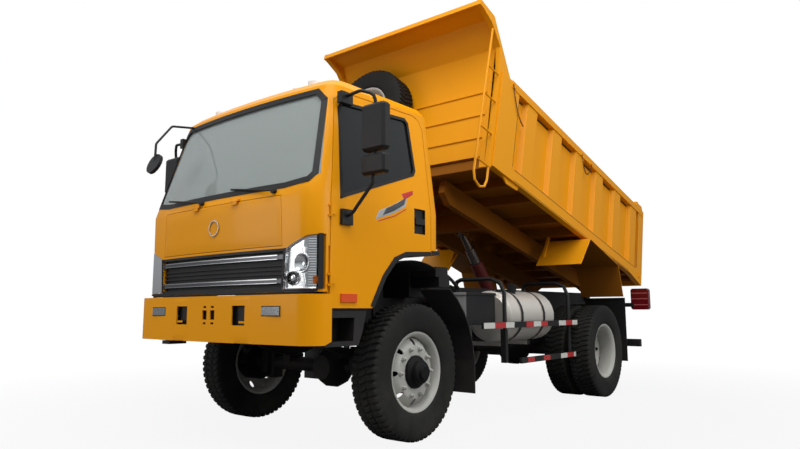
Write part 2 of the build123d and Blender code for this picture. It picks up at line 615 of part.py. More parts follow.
# door edge and window corners, as (y, z)
DOOR_EDGE = [(DOOR_FRONT, DOOR_BOTTOM), (-473, DOOR_BOTTOM), (-347, 1155), (-231, 1277), (-117, 1319),
             (DOOR_REAR, 1338), (DOOR_REAR, 2330), (150, 2395), (80, 2424), (-690, 2408), (-770, 2340),
             (DOOR_FRONT, BELT_Z)]
DOOR_WINDOW = [(-790, 1660), (-745, 2290), (-715, 2330), (-30, 2372), (2, 2345), (32, 1975), (8, 1938)]
WINDSCREEN = [(-925, 1800), (-880, 1745), (-680, 1722), (680, 1722), (880, 1745), (925, 1800),
              (845, 2345), (760, 2425), (-760, 2425), (-845, 2345)]
LID = [(-690, 1342), (690, 1342), (672, 1668), (-672, 1668)]
GRILLE = [(-690, 1056), (690, 1056), (712, 1322), (-712, 1322)]
HEADLAMP = [(702, 1062), (1000, 1062), (1000, 1412), (890, 1395), (760, 1338), (728, 1322)]
REAR_WINDOW = [(-600, 1850), (600, 1850), (600, 2300), (-600, 2300)]


def cut_side(points, by, x0, x1):
    """Cutter along X: a (y, z) outline moved outwards by a seam."""
    return extrude(Plane.YZ.offset(x0) * offset(outline(points), by, kind=Kind.INTERSECTION), x1 - x0)


def cut_front(points, by, y0, y1):
    """Cutter along Y: an (x, z) outline moved outwards by a seam."""
    return extrude(Plane.XZ.offset(-y1) * offset(outline(points), by, kind=Kind.INTERSECTION), y1 - y0)


outer = cab_form(0)
inner = cab_form(CAB_SKIN)
wall = outer - inner
door_inner = cab_form(DOOR_DEPTH)
glass_shell = cab_form(GLASS_INSET) - cab_form(GLASS_INSET + GLASS_T)

shell = wall
shell -= cut_side(DOOR_EDGE, SEAM, -1100, 1100)
shell -= block(-1100, 1100, -1200, DOOR_FRONT - 12, 800, CAB_BOTTOM)
shell -= across([(-900, 800), (400, 800), (400, 1345), (DOOR_REAR, 1345), (DOOR_REAR - 1, 1332),
                 (-900, 1332)], -1100, 1100)
shell += [block(s * (CAB_HALF_W - 52), s * (CAB_HALF_W - 12), DOOR_FRONT - 12, DOOR_FRONT - SEAM,
                DOOR_BOTTOM, 1345) for s in (1, -1)]
shell -= cut_front(WINDSCREEN, 0, -1200, -550)
shell -= cut_front(REAR_WINDOW, 0, 200, 400)
shell -= cut_front(LID, 4, -1200, -900)
shell -= cut_front(GRILLE, 0, -1200, -900)
lamp_hole = cut_front(HEADLAMP, 0, -1200, -915)
shell -= lamp_hole
shell -= mirrored(lamp_hole)
HINGE_Y = DOOR_FRONT - SEAM / 2
HINGE_ZS = [1120, 1560]
for z in HINGE_ZS:
    notch = spar((HINGE_X, HINGE_Y, z - 27), (HINGE_X, HINGE_Y, z + 27), HINGE_R + 3)
    pin = Pos(HINGE_X, HINGE_Y, z) * Cylinder(4, 70)
    for end in (1, -1):
        pin += spar((HINGE_X, HINGE_Y, z + end * 26), (HINGE_X, HINGE_Y, z + end * 40), HINGE_R)
        pin += block(HINGE_X - 22, HINGE_X, HINGE_Y - 22, HINGE_Y + 3, z + end * 33 - 6, z + end * 33 + 6)
    shell -= both(notch)
    shell += both(pin)
LID_PIN = (CAB_NOSE - NOSE_BOW - 3, 1674.0)
for x in (-230, 230):
    shell += bar((x - 38, *LID_PIN), (x + 38, *LID_PIN), 4)
    for x0 in (x - 38, x + 28):
        shell += across([(LID_PIN[0] - 6, LID_PIN[1] - 5), (LID_PIN[0] + 4, LID_PIN[1] + 1),
                         (LID_PIN[0] + 30, LID_PIN[1] + 12), (LID_PIN[0] + 30, LID_PIN[1] + 28),
                         (LID_PIN[0] - 6, LID_PIN[1] + 6)], x0, x0 + 10)
node("cab_shell", shell)

lid = (outer - cab_form(18)) & cut_front(LID, 0, -1200, -900)
badge_ring = RegularPolygon(58, 20) - RegularPolygon(50, 20)
badge = Pos(0, CAB_NOSE - NOSE_BOW - 2, 1505) * Rot(90, 0, 0) * extrude(badge_ring, 7, both=True)
knuckle_side = [(-7, -26), (13, -26), (11, -9), (5, -7), (7, 3), (3, 7), (-3, 7), (-7, 3)]
for x in (-230, 230):
    lid += across([(LID_PIN[0] + y, LID_PIN[1] + z) for y, z in knuckle_side], x - 25, x + 25)
lid -= bar((-300, *LID_PIN), (300, *LID_PIN), 4 + PIN_GAP)
node("front_lid", lid + badge)

glass_front = glass_shell & cut_front(WINDSCREEN, -SEAT, -1200, -550)
glass_rear = glass_shell & cut_front(REAR_WINDOW, -SEAT, 200, 400)
node("cab_glass", glass_front, glass_rear)

# Grille: dark frame with two bright bars and thin louvres
grille_back = (cab_form(30) - cab_form(38)) & cut_front(GRILLE, -SEAT, -1200, -900)
grille_zone = cut_front(GRILLE, -SEAT, -1200, -900)
grille = grille_back
# bar: height of its middle, its height, how far it stands back from the skin
GRILLE_BARS = [(1312, 18, 0), (1268, 30, 2), (1216, 10, 14), (1188, 10, 14), (1160, 10, 14),
               (1115, 30, 2), (1066, 18, 0)]
for z, h, back in GRILLE_BARS:
    band = (cab_form(back) - cab_form(32)) & grille_zone
    grille += band & block(-800, 800, -1200, -900, z - h / 2, z + h / 2)
node("grille", grille)

lamp_zone = cut_front(HEADLAMP, -SEAT, -1200, -915)
lamp = (cab_form(1) - cab_form(CAB_SKIN - 2)) & lamp_zone
node("headlamps", both(lamp))

# Floor: foot wells, raised seat floor over the engine, and the tilt arms below the nose
RISER_Y = -455.0
FLOOR_W = CAB_HALF_W - DOOR_DEPTH - 12
floor_side = [(DOOR_FRONT - 110, FOOT_FLOOR_Z), (RISER_Y + FLOOR_T, FOOT_FLOOR_Z),
              (RISER_Y + FLOOR_T, SEAT_FLOOR_Z - FLOOR_T), (CAB_REAR, SEAT_FLOOR_Z - FLOOR_T),
              (CAB_REAR, SEAT_FLOOR_Z), (RISER_Y, SEAT_FLOOR_Z),
              (RISER_Y, FOOT_FLOOR_Z + FLOOR_T), (DOOR_FRONT - 110, FOOT_FLOOR_Z + FLOOR_T)]
floor = across(floor_side, -FLOOR_W, FLOOR_W)
floor &= cab_form(CAB_SKIN + SEAT)
tilt_arm = across([(TILT_Y - 28, TILT_Z - 28), (TILT_Y + 28, TILT_Z - 28), (TILT_Y + 60, FOOT_FLOOR_Z + 4),
                   (TILT_Y - 28, FOOT_FLOOR_Z + 4)], 352, 384)
tilt_arm -= bar((300, TILT_Y, TILT_Z), (500, TILT_Y, TILT_Z), TILT_PIN_R + PIN_GAP)
cab_floor = floor + both(tilt_arm)
node("cab_floor", cab_floor)

# Tilt brackets on the frame, ahead, and the cab rest behind
bracket = []
for s in (1, -1):
    lug = across([(RAIL_FRONT + SEAT, RAIL_Z), (TILT_Y + 60, RAIL_Z), (TILT_Y + 20, TILT_Z),
                  (TILT_Y + 9, TILT_Z + 17), (TILT_Y - 9, TILT_Z + 17), (TILT_Y - 20, TILT_Z),
                  (TILT_Y - 34, TILT_Z - 60), (RAIL_FRONT + SEAT, RAIL_TOP)],
                 RAIL_OUT + SEAT, RAIL_OUT + 20)
    lug += bar((352, TILT_Y, TILT_Z), (RAIL_OUT + 20, TILT_Y, TILT_Z), TILT_PIN_R)
    lug += spar((384 + SEAT, TILT_Y, TILT_Z), (RAIL_OUT + 20, TILT_Y, TILT_Z), TILT_PIN_R + 4)
    bracket.append(lug if s > 0 else mirrored(lug))
rest = block(RAIL_OUT + SEAT, RAIL_OUT + 16, 120, 240, RAIL_Z + 20, 1300)
rest += block(360, RAIL_OUT + 16, 120, 240, 1288, 1318)
rest += spar((390, 180, 1318), (390, 180, SEAT_FLOOR_Z - FLOOR_T - SEAT), 26)
node("cab_brackets", bracket, both(rest))

# Dashboard, steering wheel, seats
dash = across([(-930, 1440), (-700, 1400), (-640, 1560), (-700, 1640), (-905, 1665), (-960, 1620)],
              -FLOOR_W + 40, FLOOR_W - 40)
dash &= cab_form(CAB_SKIN + SEAT)
dash += block(-FLOOR_W + 60, -FLOOR_W + 160, -900, -780, FOOT_FLOOR_Z + FLOOR_T + SEAT, 1480)
dash += block(FLOOR_W - 160, FLOOR_W - 60, -900, -780, FOOT_FLOOR_Z + FLOOR_T + SEAT, 1480)

WHEEL_X = 425.0
column_top = (WHEEL_X, -560, 1735)
column = spar((WHEEL_X, -720, 1540), column_top, 24)
axis_dir = (Vector(0, 160, 195)).normalized()
wheel_plane = Plane(origin=column_top, z_dir=axis_dir)
# steering wheel rim: radius and height of the corners of its section
hoop_section = [(191, -6), (205, -14), (219, -6), (219, 6), (205, 14), (191, 6)]
hoop = wheel_plane * Rot(0, -90, 0) * flat_turned(hoop_section, 20)
spokes = [wheel_plane * Rot(0, 0, a) * Pos(102, 0, 0) * Box(204, 34, 12) for a in (0, 120, 240)]
steering = hoop + spokes + wheel_plane * extrude(RegularPolygon(46, 10), 15, both=True)
node("dashboard_and_steering", dash - spar((WHEEL_X, -720, 1540), column_top, 26), steering + column)

# seat: middle in x, width
SEATS = [(425, 470), (-330, 800)]
seat_parts = []
for x, w in SEATS:
    base_z = SEAT_FLOOR_Z + SEAT
    cushion = across([(-430, base_z), (90, base_z), (90, base_z + 150), (-400, base_z + 190),
                      (-440, base_z + 130)], x - w / 2, x + w / 2)
    back = across([(95, base_z), (225, base_z), (232, 2230), (160, 2240), (60, base_z + 200)],
                  x - w / 2, x + w / 2)
    seat_parts.append(cushion)
    seat_parts.append(back - cushion)
node("seats", seat_parts)

# Wipers, nose mirror and roof lamps
wiper_parts = []
for x in (610, -170):
    pivot_y = CAB_NOSE - NOSE_BOW * (1 - (x / 830) ** 2) + 4
    arm = spar((x, pivot_y - 16, 1706), (x - 470, pivot_y + (2 if x > 0 else 18), 1770), 7)
    arm += spar((x, pivot_y + 20, 1700), (x, pivot_y - 22, 1700), 16)
    wiper_parts.append(arm)
node("wipers", [w - outer for w in wiper_parts])

NOSE_MIRROR = (-600.0, -1215.0, 2035.0)
nose_mirror = Pos(*NOSE_MIRROR) * Rot(70, 0, 0) * extrude(RegularPolygon(82, 16), 13, both=True)
nose_mirror += pipe([(-740, -700, 2449), (-725, -1010, 2400), (-620, -1200, 2200), NOSE_MIRROR], 9, [40, 40])
node("nose_mirror", nose_mirror - outer)

# roof lamp: x, y, radius, height above the roof's top
ROOF_LAMPS = [(560, -668, 44, 16), (360, -655, 30, 15)]
lamps = [spar((s * x, y, ROOF_EDGE_Z), (s * x, y, ROOF_TOP_Z + h), r, 12)
         for x, y, r, h in ROOF_LAMPS for s in (1, -1)]
node("roof_lamps", [lamp_i - outer for lamp_i in lamps])

# Doors with their hinges, glass and mirrors

def door_set():
    """Door, glass and mirrors of the left side."""
    zone = cut_side(DOOR_EDGE, 0, 700, 1100)
    leaf = (outer - door_inner) & zone
    leaf -= cut_side(DOOR_WINDOW, 0, 700, 1100)
    leaf -= block(946, 990, -20, 113, 1489, 1677)
    leaf += block(958, 972, -8, 101, 1560, 1606) + [block(944, 959, y, y + 20, 1560, 1606) for y in (-8, 81)]
    pane = glass_shell & cut_side(DOOR_WINDOW, -SEAT, 700, 1100)
    for z in HINGE_ZS:
        leaf -= Pos(HINGE_X, HINGE_Y, z) * Cylinder(HINGE_R + 2, 84)
        leaf += Pos(HINGE_X, HINGE_Y, z) * Cylinder(HINGE_R, 50)
        leaf += block(HINGE_X - 16, HINGE_X, HINGE_Y, HINGE_Y + 40, z - 25, z + 25)
        leaf -= Pos(HINGE_X, HINGE_Y, z) * Cylinder(4 + PIN_GAP, 60)
    arms = pipe([(930, -735, 2352), (1090, -745, 2360), (1175, -700, 2330), (1175, -690, 2240)], 12, [50, 50])
    arms += block(918, 962, -790, -680, 2300, 2380)
    arms += pipe([(950, -745, 1540), (1030, -760, 1540), (1160, -700, 1740), (1160, -700, 1800)], 12, [40, 40])
    arms += block(955, 990, -800, -700, 1478, 1580)
    head = block(1078, 1282, -735, -655, 1948, 2262)
    head = chamfer(head.edges(), 18)
    small = block(1078, 1282, -735, -665, 1792, 1925)
    small = chamfer(small.edges(), 16)
    arms += spar((1175, -695, 1915), (1175, -695, 1960), 12)
    return leaf, pane, arms + head + small - outer


door, door_pane, door_mirrors = door_set()
for name, turn in SIDES.items():
    node("door_" + name, turn(door))
    node("door_glass_" + name, turn(door_pane))
    node("mirrors_" + name, turn(door_mirrors))

# Tail lamps, underrun bar and mudflaps

LAMP_Y0 = 4422.0
LAMP_Y1 = 4498.0
lamp_body = block(962, 1180, LAMP_Y0, LAMP_Y1, 925, 1188)
lamp_body = chamfer(lamp_body.edges().filter_by(Axis.Y), 18)
node("tail_lamps", both(lamp_body))

lamp_bar = block(-1000, 1000, 4404, 4422 - SEAT, 960, 1010)
under_bar = block(-1050, 1050, 4420, 4480, 470, 560)
under_arms = [across([(4330, RAIL_Z - 2 * SEAT), (4400, RAIL_Z - 2 * SEAT), (4424, 560), (4424, 470),
                      (4390, 470), (4330, 640)], s * 380 - 15, s * 380 + 15) for s in (1, -1)]
lamp_arms = block(-RAIL_OUT, RAIL_OUT, RAIL_REAR + SEAT, 4405, RAIL_Z + 10, 1010)
node("rear_bars", under_bar + under_arms, lamp_bar + lamp_arms)

FLAP_Y = WHEELBASE + 725
flap = block(600, 1092, FLAP_Y, FLAP_Y + 10, 330, 1066)
flap_arm = spar((RAIL_OUT + SEAT, FLAP_Y + 24, 980), (1040, FLAP_Y + 24, 980), 14)
node("rear_mudflaps", both(flap + flap_arm))

# Tipping bed, drawn level in its own frame and then raised about its hinge

BED = Pos(0, BED_FOOT_Y, BED_FOOT_Z) * Rot(-BED_ANGLE, 0, 0)
SIDE_X = 960.0             # outside of the side plate, under the ribs
CHEEK_X = 1000.0
BED_END = BED_LENGTH - 35

# bearer: s of its middle
BEARERS = [60, 480, 900, 1500, 1900, 2300, 2700, 3100, 3450, 3690]
beams = across([(150, -120), (260, -BEAM_DEPTH), (TIP_S - 110, -BEAM_DEPTH), (TIP_S - 50, TIP_H - 25), (TIP_S + 50, TIP_H - 25),
                (TIP_S + 110, -BEAM_DEPTH + 30), (BED_LENGTH - 50, -60), (BED_LENGTH - 50, -SEAT), (150, -SEAT)], BEAM_X, BEAM_X + BEAM_W)
beams += bar((BEAM_X, TIP_S, TIP_H), (BEAM_X + BEAM_W + 34, TIP_S, TIP_H), TIP_PIN_R)
BRACE_S = HOIST_S - 90     # rear face of the brace, clear of the rod's eye
brace = block(-BEAM_X - 1, BEAM_X + 1, BRACE_S - 65, BRACE_S, -BEAM_DEPTH + 6, -8)
ear_plates = [across([(BRACE_S - 5, -60), (1090, -60), (1150, -110), (1150, -205), (BRACE_S - 5, -198)],
                     s * 45 + (SEAT if s > 0 else -SEAT - 16), s * 45 + (SEAT + 16 if s > 0 else -SEAT))
              for s in (1, -1)]
ear_plates = [e - bar((-90, HOIST_S, HOIST_H), (90, HOIST_S, HOIST_H), HOIST_PIN_R + PIN_GAP)
              for e in ear_plates]
node("bed_beams", BED * (beams + mirrored(beams) + brace + ear_plates))

bearers = [block(-SIDE_X + 12, SIDE_X - 12, s - 35, s + 35, 0, FLOOR_H - 12)
           - block(-SIDE_X, SIDE_X, s - 35 + 9, s + 36, 9, FLOOR_H - 21) for s in BEARERS]
floor_plate = block(-SIDE_X + 10 + SEAT, SIDE_X - 10 - SEAT, 12, BED_END - 2, FLOOR_H - 12, FLOOR_H)
node("bed_floor", BED * (floor_plate + bearers))

# Sides: plate, sill and top rail, with wide pressed ribs between them
RIB_PITCH = 560.0
RIB_FIRST = 620.0
RIB_COUNT = 6
RIB_W = 200.0
RAIL_BOX_H = 76.0
side = block(SIDE_X - 10, SIDE_X, 12 + SEAT, BED_END, 0, BED_SIDE_H - RAIL_BOX_H + 4)
side += block(SIDE_X, BED_HALF_W - 4, 12 + SEAT, BED_END, 0, SILL_H)
side += block(SIDE_X - 14, BED_HALF_W + 2, 186, BED_END, BED_SIDE_H - RAIL_BOX_H, BED_SIDE_H)
side += across([(12 + SEAT, SILL_H), (340, SILL_H), (340, BED_SIDE_H - 4), (186, BED_SIDE_H - 4),
                (12 + SEAT, BED_SIDE_H - 4)], SIDE_X, BED_HALF_W - 4)
for i in range(RIB_COUNT):
    s0 = RIB_FIRST + i * RIB_PITCH - RIB_W / 2
    side += upward([(SIDE_X - 1, s0 - 26), (BED_HALF_W - 8, s0), (BED_HALF_W - 8, s0 + RIB_W),
                    (SIDE_X - 1, s0 + RIB_W + 26)], SILL_H - 1, BED_SIDE_H - RAIL_BOX_H + 1)
side += block(SIDE_X, BED_HALF_W - 4, 3590, BED_END, SILL_H - 1, BED_SIDE_H - 10)
side += across([(3340, 4), (BED_END, -56), (BED_END, 4)], SIDE_X - 10, BED_HALF_W - 4)
# bracket under the front of the sill, with an opening
side += across([(150, 4), (520, 4), (500, -40), (300, -52), (220, -4)], SIDE_X + 20, SIDE_X + 34)

# Front wall with its canopy, pressed bars and a cheek plate at each side
canopy_out = [(0, FLOOR_H - 3), (0, 1000), (-36, 1188), (-214, 1396), (-430, 1428), (-430, 1392), (-448, 1392)]
canopy_in = [(-448, 1438), (-424, 1438), (-209, 1405), (-28, 1192), (12, 1000), (12, FLOOR_H - 3)]
wall_sheet = across(canopy_out + canopy_in, -SIDE_X + 8, SIDE_X - 8)
# pressed bars: height on the wall
WALL_BARS = [300, 535, 770]
wall_bars = [across([(1, h - 16), (-13, h - 9), (-13, h + 9), (1, h + 16)], -SIDE_X + 30, SIDE_X - 30)
             for h in WALL_BARS]
cheek = across([(-26, -20), (-26, 960), (-60, 1180), (-236, 1332), (-400, 1384), (-450, 1390),
                (-450, 1441), (-205, 1418), (176, BED_SIDE_H + 6), (182, BED_SIDE_H - 2), (11, BED_SIDE_H - 2),
                (11, -20)], SIDE_X - 10, CHEEK_X)
cheek += block(SIDE_X - 66, SIDE_X - 9, -25, -4, -18, 990)
front_wall = wall_sheet + wall_bars + cheek + mirrored(cheek)
SPARE_X = -440.0
SPARE_H = 712.0
SPARE_S = -152.0
front_wall += block(SPARE_X - 150, SPARE_X + 150, -14, 2, SPARE_H - 170, SPARE_H + 170)
front_wall += spar((SPARE_X, 0, SPARE_H), (SPARE_X, SPARE_S + FRONT_DISC + SEAT, SPARE_H), 96, 12)
node("bed_front_wall", BED * front_wall)

ladder_x = CHEEK_X - 12
ladder = pipe([(ladder_x, -196, 1290), (ladder_x, -228, -246), (ladder_x, -14, -246), (ladder_x, -14, -8)],
              11, [100, 100])
# rung: height
for h in (905, 620, 295, -15):
    front = -196 - 32 * (1290 - h) / 1536
    ladder += spar((ladder_x, front, h), (ladder_x, -28, h), 8)
node("bed_ladder", BED * (ladder - cheek))

# Spare wheel on the front wall, its dished side towards the wall
TURN_SPARE = Pos(SPARE_X, SPARE_S, SPARE_H) * Rot(0, 0, 90)
spare_tyre = TURN_SPARE * tyre(0)
spare_rim = TURN_SPARE * rim(FRONT_DISC)
node("spare_tyre", BED * spare_tyre)
node("spare_rim", BED * spare_rim)

# Fenders under the sills: bent plates with stays from the bearers
FENDER_X0 = 580.0
FENDER_X1 = 1100.0
fender_line = [(1742, -379), (1943, -36), (2762, -90), (2959, -417)]
fender_in = [(2952, -417), (2757, -97), (1948, -43), (1749, -379)]
fender = across(fender_line + fender_in, FENDER_X0, FENDER_X1)
for s0, top in ((2110, -44), (2680, -80)):
    fender += block(SIDE_X - 60, SIDE_X - 20, s0 - 20, s0 + 20, top - 6, -SEAT)
    fender += block(FENDER_X0 + 20, FENDER_X0 + 60, s0 - 20, s0 + 20, top - 6, -SEAT)
fender += across([(1790, -306), (1822, -250), (1915, -SEAT), (1885, -SEAT)], FENDER_X0 + 30, FENDER_X0 + 60)
node("bed_fenders", [BED * fender, BED * mirrored(fender)])

# Tailgate hung from two arms that reach forward to pins on the rear posts
GATE_S = BED_END + SEAM
GATE_PIN_S = BED_LENGTH - 210
GATE_PIN_H = 1000.0
GATE_PIN_R = 12.7
GATE_ARM_X = 986.0
gate = block(-BED_HALF_W + 6, BED_HALF_W - 6, GATE_S + 30, GATE_S + 42, -58, BED_SIDE_H)
for h in (-58, 150, 400, 650, BED_SIDE_H - 62):
    gate += block(-BED_HALF_W + 6, BED_HALF_W - 6, GATE_S, GATE_S + 31, h, h + 62)
for x in (-1, -0.34, 0.34, 1):
    gate += block(x * 978 - 36, x * 978 + 36, GATE_S, GATE_S + 31, -58, BED_SIDE_H)
for sgn in (1, -1):
    arm_x = sgn * GATE_ARM_X
    arm = across([(GATE_PIN_S - 28, GATE_PIN_H - 18), (GATE_PIN_S - 18, GATE_PIN_H + 28),
                  (GATE_S + 10, GATE_PIN_H + 30), (GATE_S + 42, GATE_PIN_H - 20), (GATE_S + 42, 900),
                  (GATE_S + 4, 900), (GATE_S + 4, GATE_PIN_H - 26)], arm_x - 12, arm_x + 12)
    gate += arm
pin_hole = bar((-1100, GATE_PIN_S, GATE_PIN_H), (1100, GATE_PIN_S, GATE_PIN_H), GATE_PIN_R + PIN_GAP)
gate -= pin_hole
node("tailgate", BED * gate)
ears = []
for x in (GATE_ARM_X - 18.3, GATE_ARM_X + 18.3):
    ears.append(across([(GATE_PIN_S - 40, BED_SIDE_H - 1), (GATE_PIN_S + 40, BED_SIDE_H - 1),
                        (GATE_PIN_S + 24, GATE_PIN_H + 24), (GATE_PIN_S - 24, GATE_PIN_H + 24)], x - 6, x + 6))
ears.append(bar((GATE_ARM_X - 24, GATE_PIN_S, GATE_PIN_H), (GATE_ARM_X + 24, GATE_PIN_S, GATE_PIN_H),
                GATE_PIN_R))
node("bed_side_left", BED * (side + ears))
node("bed_side_right", BED * mirrored(side + ears))

# Hoist cylinder: barrel on the crossmember, a hollow stage and the rod with its eye

EYE_Y = TIP_Y + (HOIST_S - TIP_S) * cos(radians(BED_ANGLE)) + (HOIST_H - TIP_H) * sin(radians(BED_ANGLE))
EYE_Z = TIP_Z - (HOIST_S - TIP_S) * sin(radians(BED_ANGLE)) + (HOIST_H - TIP_H) * cos(radians(BED_ANGLE))
HOIST_LEN = hypot(EYE_Y - HOIST_Y, EYE_Z - HOIST_Z)
HOIST_DIR = ((EYE_Y - HOIST_Y) / HOIST_LEN, (EYE_Z - HOIST_Z) / HOIST_LEN)
CLOSED = 795.0
STAGE_OUT = (HOIST_LEN - CLOSED) / 2
HOIST_FRAME = Plane(origin=(0, HOIST_Y, HOIST_Z), x_dir=(1, 0, 0), z_dir=(0, HOIST_DIR[0], HOIST_DIR[1]))


def tube(r_out, r_in, start, end):
    ring = Circle(r_out) - Circle(r_in) if r_in else Circle(r_out)
    return extrude(Plane.XY.offset(start) * ring, end - start)


barrel = tube(BARREL_R, 0, 20, 730) + spar((-BARREL_R - 5, 0, 0), (BARREL_R + 5, 0, 0), 60, 12)
barrel += bar((-BARREL_R - 25, 0, 0), (BARREL_R + 25, 0, 0), HOIST_PIN_R)
barrel -= tube(STAGE_R + PIN_GAP, 0, 42, 731)
stage = tube(STAGE_R, ROD_R + PIN_GAP, 45 + STAGE_OUT, 746 + STAGE_OUT)
rod = tube(ROD_R, 0, 55 + 2 * STAGE_OUT, CLOSED + 2 * STAGE_OUT)
rod += spar((-45, 0, CLOSED + 2 * STAGE_OUT), (45, 0, CLOSED + 2 * STAGE_OUT), ROD_R, 12)
rod -= bar((-50, 0, CLOSED + 2 * STAGE_OUT), (50, 0, CLOSED + 2 * STAGE_OUT), HOIST_PIN_R + PIN_GAP)
node("hoist_barrel", HOIST_FRAME * barrel)
node("hoist_stage", HOIST_FRAME * stage)
node("hoist_rod", HOIST_FRAME * rod)

# Every sub-part moves back to the shared origin and is written as its own file
os.makedirs("parts", exist_ok=True)
for name, pieces in NODES.items():
    moved = [Pos(0, -ORIGIN_BACK, 0) * p for p in pieces]
    export_step(moved[0] if len(moved) == 1 else Compound(children=moved), "parts/" + name + ".step")
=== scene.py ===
import json
from math import radians

import bmesh
import bpy
import numpy as np
from mathutils import Matrix


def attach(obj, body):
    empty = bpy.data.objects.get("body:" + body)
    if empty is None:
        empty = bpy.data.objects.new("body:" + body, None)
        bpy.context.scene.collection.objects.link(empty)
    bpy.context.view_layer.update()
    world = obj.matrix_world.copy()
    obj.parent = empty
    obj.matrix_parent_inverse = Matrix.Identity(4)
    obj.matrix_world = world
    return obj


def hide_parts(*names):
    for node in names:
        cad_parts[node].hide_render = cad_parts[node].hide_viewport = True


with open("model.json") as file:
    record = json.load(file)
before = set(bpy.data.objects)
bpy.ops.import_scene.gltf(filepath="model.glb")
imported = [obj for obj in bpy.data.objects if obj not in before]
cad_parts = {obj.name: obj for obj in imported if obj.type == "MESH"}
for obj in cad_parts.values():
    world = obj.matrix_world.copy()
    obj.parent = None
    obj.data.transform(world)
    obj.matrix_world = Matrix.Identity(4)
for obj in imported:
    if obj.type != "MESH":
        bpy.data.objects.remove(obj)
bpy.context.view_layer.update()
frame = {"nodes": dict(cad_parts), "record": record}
body_of = {node: body for body, nodes in frame["record"]["behaviour"]["bodies"].items() for node in nodes}
AXLE_Y = -1.839      # the front axle's place along the truck

# Camera and light.
# A low camera at the truck's left front corner, looking slightly up, as in the photograph.
# Three broad lamps and a pale sky give the soft, even light of an overcast yard.
SENSOR_WIDTH = 36.0
PHOTO_WIDTH = 800.0
# the camera fitted to the photograph: turn, rise and lean in radians, lens in pixels
yaw, pitch, roll, lens_px = 0.68485, 0.13385, -0.00372, 637.25
forward = np.array([-np.sin(yaw) * np.cos(pitch), np.cos(yaw) * np.cos(pitch), np.sin(pitch)])
right = np.array([np.cos(yaw), np.sin(yaw), 0.0])
upward = np.cross(right, forward)
level = right
right = level * np.cos(roll) + upward * np.sin(roll)
upward = upward * np.cos(roll) - level * np.sin(roll)
eye = np.array([3.8373, -3.7046 + AXLE_Y, 0.9273])
camera = bpy.data.objects.new("camera", bpy.data.cameras.new("camera"))
camera.data.sensor_width = SENSOR_WIDTH
camera.data.lens = lens_px * SENSOR_WIDTH / PHOTO_WIDTH
turn = np.eye(4)
turn[:3] = np.column_stack([right, upward, -forward, eye])
camera.matrix_world = Matrix(turn.tolist())
bpy.context.collection.objects.link(camera)
bpy.context.scene.camera = camera
bpy.context.scene.view_settings.view_transform = "Standard"

# lamp: its name, place, aim, width in metres, power in watts
lamps = (("overhead", (2.2, -3.5, 6.5), (0, -0.4, 1.2), 5.0, 260),
         ("front_fill", (-3.5, -8.0, 2.6), (0, -1.5, 1.4), 3.5, 90),
         ("left_side", (8.0, 0.5, 4.2), (0, 0.2, 1.6), 4.5, 225))
for name, place, aim, size, power in lamps:
    lamp = bpy.data.objects.new(name, bpy.data.lights.new(name, "AREA"))
    lamp.data.shape = "DISK"
    lamp.data.size = size
    lamp.data.energy = power
    lamp.location = place
    away = Matrix.Translation(place).to_translation() - Matrix.Translation(aim).to_translation()
    lamp.rotation_euler = away.to_track_quat("Z", "Y").to_euler()
    bpy.context.collection.objects.link(lamp)



def tune(node, values):
    """Sets a shader node's named inputs."""
    for key, value in values.items():
        node.inputs[key].default_value = value


# Sky: lights the truck from above more than from the horizon, and is seen white by the camera.
world = bpy.data.worlds.new("sky")
bpy.context.scene.world = world
world.use_nodes = True
wn = world.node_tree.nodes
wl = world.node_tree.links
sky_light = wn["Background"]
sky_seen = wn.new("ShaderNodeBackground")
tune(sky_seen, {"Color": (1, 1, 1, 1)})
tune(sky_light, {"Color": (0.93, 0.96, 1.0, 1)})
around = wn.new("ShaderNodeTexCoord")
height = wn.new("ShaderNodeSeparateXYZ")
rise = wn.new("ShaderNodeMapRange")
tune(rise, {"From Min": 0.0, "From Max": 0.8, "To Min": 0.20, "To Max": 0.95})
wl.new(around.outputs["Object"], height.inputs[0])
wl.new(height.outputs["Z"], rise.inputs["Value"])
wl.new(rise.outputs[0], sky_light.inputs["Strength"])
path = wn.new("ShaderNodeLightPath")
choose = wn.new("ShaderNodeMixShader")
wl.new(path.outputs["Is Camera Ray"], choose.inputs["Fac"])
wl.new(sky_light.outputs[0], choose.inputs[1])
wl.new(sky_seen.outputs[0], choose.inputs[2])
wl.new(choose.outputs[0], wn["World Output"].inputs["Surface"])

# Floor.
# A plain pale floor that keeps the truck's soft shadow. It is seen nearly white, and throws
# little light up under the chassis.
floor = bpy.data.objects.new("floor", bpy.data.meshes.new("floor"))
floor.data.from_pydata([(-60, -60, 0), (60, -60, 0), (60, 60, 0), (-60, 60, 0)], [], [(0, 1, 2, 3)])
bpy.context.collection.objects.link(floor)
pale = bpy.data.materials.new("pale_floor")
pale.use_nodes = True
pn = pale.node_tree.nodes
pl = pale.node_tree.links
matt = pn["Principled BSDF"]
glow = pn.new("ShaderNodeEmission")
see = pn.new("ShaderNodeMixShader")
tune(matt, {"Base Color": (0.16, 0.16, 0.16, 1), "Roughness": 0.9})
tune(glow, {"Strength": 1.0})
path = pn.new("ShaderNodeLightPath")
share = pn.new("ShaderNodeMath")
share.operation = "MULTIPLY"
spot = pn.new("ShaderNodeTexCoord")
distance = pn.new("ShaderNodeVectorMath")
distance.operation = "LENGTH"
fade = pn.new("ShaderNodeMapRange")
tune(fade, {"From Min": 2.5, "From Max": 6.5, "To Min": 0.90, "To Max": 1.0})
pl.new(spot.outputs["Object"], distance.inputs[0])
pl.new(distance.outputs["Value"], fade.inputs["Value"])
pl.new(fade.outputs[0], share.inputs[1])
pl.new(path.outputs["Is Camera Ray"], share.inputs[0])
pl.new(share.outputs[0], see.inputs["Fac"])
pl.new(matt.outputs[0], see.inputs[1])
pl.new(glow.outputs[0], see.inputs[2])
